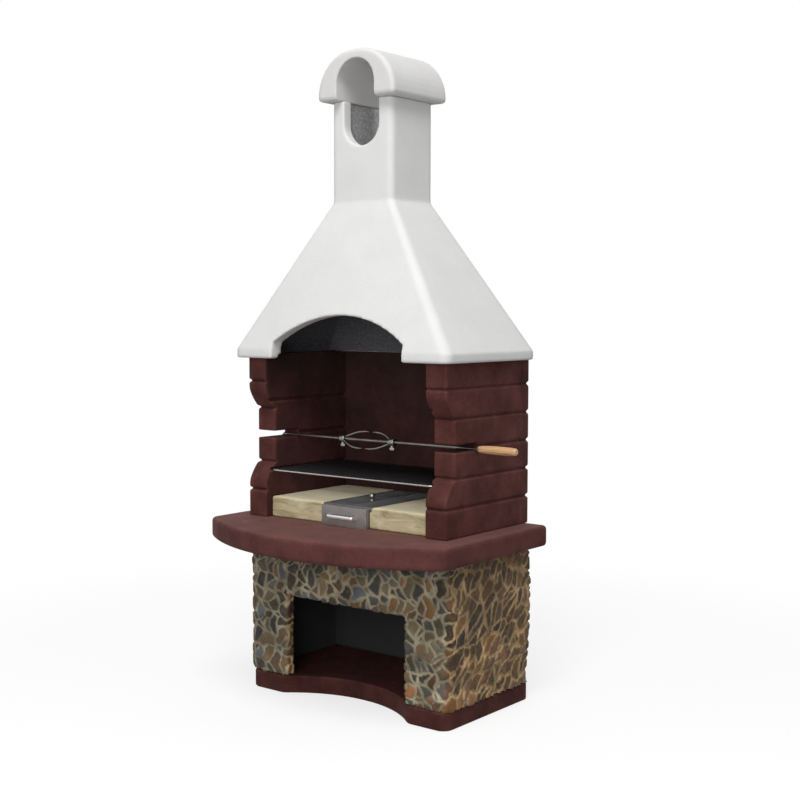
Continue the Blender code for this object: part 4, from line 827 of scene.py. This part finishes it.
# (distance from the hub's middle, radius), alike on both sides
half_hub = [(0.0117, hub_radius), (0.0126, 0.0118), (hub_reach, 0.0112), (hub_reach, bore)]
hub_profile = [(-along, out) for along, out in half_hub[::-1]] + half_hub
for word, side in (("left", -1), ("right", 1)):
    hub_x, heading = fork_middle + side * fork_spacing / 2, -side
    fork = turned(f"{word}_fork_hub_and_prongs", hub_profile, (hub_x, spit_y, spit_z), "X", 32)
    builder = bmesh.new()
    builder.from_mesh(fork.data)
    for sign in (-1, 1):
        out = Vector((0, math.cos(prong_angle), math.sin(prong_angle))) * sign
        across = Vector((heading, 0, 0)).cross(out)
        stations = []
        thicknesses = [prong_radius] * (len(prong_path_shares) - len(tip_radii)) + list(tip_radii)
        for number, (run, share) in enumerate(prong_path_shares):
            ahead = prong_path_shares[min(number + 1, len(prong_path_shares) - 1)]
            behind = prong_path_shares[max(number - 1, 0)]
            flow = (Vector((heading, 0, 0)) * (ahead[0] - behind[0]) * prong_reach
                    + out * (ahead[1] - behind[1]) * prong_bow).normalized()
            bend = flow.cross(across).normalized()
            centre = Vector((hub_x + heading * (prong_start + prong_reach * run), spit_y, spit_z))
            centre += out * prong_bow * share
            stations.append((centre, across, bend, thicknesses[number]))
        tube(builder, stations, prong_sides)
    bmesh.ops.recalc_face_normals(builder, faces=builder.faces)
    smoothed(builder, fork.data)
    fork.data.materials.append(chrome_plate(f"smoked_chrome_{word}_fork", shade="#a5a19d", hazed="#6f6b68",
                                            dullness=0.24))
    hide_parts(f"fork_{word}")
    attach(fork, f"{word}_fork")


# Wing screws: one under each hub, a 5 mm shank with a collar and a pressed wing, chrome plated.
# Tightening it clamps the fork to the bar.

for word in ("left", "right"):
    screw = rounded(f"{word}_wing_screw", f"fork_screw_{word}", radius=0.0004, steps=2)
    screw.data.materials.append(chrome_plate(f"smoked_chrome_{word}_screw", shade="#b5b1ad", hazed="#7b7774",
                                             dullness=0.2))
    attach(screw, f"{word}_screw")


# Hood and flue column: two hollow castings of light refractory concrete, mortared on each other with a flush
# joint and painted white. The paint covers the reveals and stops at the inner faces, which stay unpainted:
# grey in the flue, and darkened in the hood as painted shade.

def white_masonry(name, shaded, lit):
    """White masonry paint on concrete, or white cement with no paint: chalky, with a fine sanded texture and
    faint clouds; unpainted concrete, speckled with grit, where the paint stops inside, darkened inside the
    hood as painted shade."""
    material, tree, shader, place = new_material(name)
    clouds = add(tree, "TexNoise", {"Vector": place, "Scale": 1 / 0.12, "Detail": 3.0, "Roughness": 0.6})
    white = add(tree, "Mix", {0: clouds, 6: shaded, 7: lit}, data_type="RGBA")
    # sand in the paint: 0.5 mm grains, drawn 4 mm wide
    sand = add(tree, "TexNoise", {"Vector": place, "Scale": 1 / 0.004, "Detail": 3.0, "Roughness": 0.7})
    grain = add(tree, "MapRange", {"Value": sand, "From": (0.3, 0.7), "To": (0.95, 1.02)})
    grained = add(tree, "Mix", {0: 1.0, 6: white, 7: grain}, data_type="RGBA", blend_type="MULTIPLY")
    grit = add(tree, "TexVoronoi", {"Vector": place, "Scale": 1 / 0.007})
    speckle = add(tree, "MapRange", {"Value": grit, "From": (0, 0.8), "To": (0.62, 1.25)})
    hood_shade = add(tree, "Attribute", gives="Fac", attribute_name="hood_shade")
    # painted shade: inside the hood the unpainted concrete is darkened to a dark blue-grey, fading upwards
    unpainted_and_shaded = add(tree, "Mix", {0: hood_shade, 6: "#b5b5b6", 7: "#5d5c61"}, data_type="RGBA")
    raw = add(tree, "Mix", {0: 1.0, 6: unpainted_and_shaded, 7: speckle}, data_type="RGBA", blend_type="MULTIPLY")
    inside = add(tree, "Attribute", gives="Fac", attribute_name="inside")
    ragged = add(tree, "Math", {0: inside, 1: clouds})
    coat_end = add(tree, "MapRange", {"Value": ragged, "From": (0.9, 1.05)})
    skin = add(tree, "Mix", {0: coat_end, 6: grained, 7: raw}, data_type="RGBA")
    bump = add(tree, "Bump", {"Height": sand, "Strength": 0.45, "Distance": 0.0014})
    matt = add(tree, "MapRange", {"Value": sand, "From": (0.3, 0.7), "To": (0.95, 0.8)})
    fill(shader, {"Base Color": skin, "Normal": bump, "Roughness": matt, "Specular IOR Level": 0.3})
    return material


stack = cast("painted_hood_and_column", ["hood", "flue_column"], net_size=0.0042, wear_rounds=4)
spots = values_of(stack.data.vertices, "co", 3).astype(float)
across, deep, high = np.abs(spots[:, 0]), spots[:, 1], spots[:, 2]
hood_low, hood_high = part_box("hood")
shaft_low, shaft_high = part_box("flue_column")
apron_z, hood_wall, column_wall = 1.2022, 0.054, 0.04
# paint and painted shade end over the coat's edge; the painted shade thins out upwards over the given
# length, to none at the given height
coat_edge, shade_top, shade_thins = 0.006, 1.72, 0.25
share = np.clip((high - apron_z) / (shaft_low.z - apron_z), 0, 1)
half_x = hood_high.x + (shaft_high.x - hood_high.x) * share
front_y = hood_low.y + (shaft_low.y - hood_low.y) * share
rear_y = hood_high.y + (shaft_high.y - hood_high.y) * share
# how deep each point lies behind the outer faces
depth = np.minimum.reduce([half_x - across, deep - front_y, rear_y - deep])
wall = np.where(high < shaft_low.z, hood_wall, column_wall)
note(stack.data, "inside", np.clip((depth - wall + coat_edge) / coat_edge, 0, 1))
# the painted shade stops at the mortar on the hood's lower rim, which stays pale grey
above_rim = np.clip((high - hood_low.z - coat_edge) / coat_edge, 0, 1)
note(stack.data, "hood_shade", np.clip((shade_top - high) / shade_thins, 0, 1) * above_rim)
stack.data.materials.append(white_masonry("white_masonry_paint", shaded="#e2e2e0", lit="#efefed"))
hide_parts("hood", "flue_column")
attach(stack, "masonry")


# Chimney cap: a thick barrel of white cement with a tunnel from front to back, cast upside down in a
# mould and mortared on the column. It has no paint, so it is a shade greyer than the hood.

cap = cast("barrel_chimney_cap", ["chimney_cap"], net_size=0.0032, wear_rounds=2)
cap.data.materials.append(white_masonry("white_cement_cap", shaded="#dbdad8", lit="#e6e5e3"))
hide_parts("chimney_cap")
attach(cap, "masonry")


# Studio: a pale floor that runs out of view, light from all round like an overcast sky, two large
# soft lamps, one high and one beside the camera, and a camera where the photograph was taken from.

builder = bmesh.new()
bmesh.ops.create_grid(builder, x_segments=2, y_segments=2, size=14)
floor = in_scene("studio_floor", smoothed(builder, bpy.data.meshes.new("studio_floor")))
material, tree, shader, place = new_material("pale_studio_floor")
fill(shader, {"Base Color": "#8c8c8c", "Roughness": 0.95})
reach = add(tree, "VectorMath", {0: place}, operation="LENGTH")
away = add(tree, "MapRange", {"Value": reach, "From": (1.1, 2.8)}, interpolation_type="SMOOTHSTEP")
glow = add(tree, "Emission", {"Color": "#ffffff", "Strength": 0.74})
dim = add(tree, "BsdfDiffuse", {"Color": "#989898"})
near = add(tree, "AddShader", {0: glow, 1: dim})
far = add(tree, "Emission", {"Color": "#ffffff", "Strength": 1.0})
seen = add(tree, "MixShader", {0: away, 1: near, 2: far})
path = add(tree, "LightPath").node
either = add(tree, "Math", {0: path.outputs["Is Camera Ray"], 1: path.outputs["Is Glossy Ray"]},
             operation="MAXIMUM")
choice = add(tree, "MixShader", {0: either, 1: shader.outputs[0], 2: seen})
fill(next(item for item in tree.nodes if item.type == "OUTPUT_MATERIAL"), {"Surface": choice})
floor.data.materials.append(material)
floor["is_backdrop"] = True

world = bpy.data.worlds.new("studio_air")
bpy.context.scene.world = world
world.use_nodes = True
tree = world.node_tree
tree.nodes.clear()
lit = add(tree, "Background", {"Color": "#f7f8fa", "Strength": 0.4})
shown = add(tree, "Background", {"Color": "#ffffff", "Strength": 1.0})
path = add(tree, "LightPath").node
glossy = add(tree, "Math", {0: path.outputs["Is Camera Ray"], 1: path.outputs["Is Glossy Ray"]},
             operation="MAXIMUM")
either = add(tree, "Math", {0: glossy, 1: path.outputs["Is Transmission Ray"]}, operation="MAXIMUM")
choice = add(tree, "MixShader", {0: either, 1: lit, 2: shown})
add(tree, "OutputWorld", {"Surface": choice})

aim = Vector((0, 0, 1.2))
for name, place, size, power in (("high_light", (1.85, -2.7, 6.2), 2.6, 205),
                                 ("front_light", (2.2, -4.95, 1.8), 2.6, 90)):
    lamp = bpy.data.lights.new(name, "AREA")
    lamp.shape = "SQUARE"
    lamp.size = size
    lamp.energy = power
    holder = in_scene(name, lamp)
    holder.location = place
    holder.rotation_euler = (aim - holder.location).to_track_quat("-Z", "Y").to_euler()

# the lens and the place were solved from the photograph's edges
lens = bpy.data.cameras.new("photo_view")
lens.sensor_width = 36.0
lens.lens = 58.97
camera = in_scene("photo_view", lens)
sight = Matrix(((0.783676, -0.043555, 0.619641), (0.621168, 0.052427, -0.781922),
                (0.001571, 0.997674, 0.068141))).to_4x4()
sight.translation = Vector((2.8437, -3.5129, 1.337))
camera.matrix_world = sight
bpy.context.scene.camera = camera
bpy.context.scene.view_settings.view_transform = "Standard"

low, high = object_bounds()
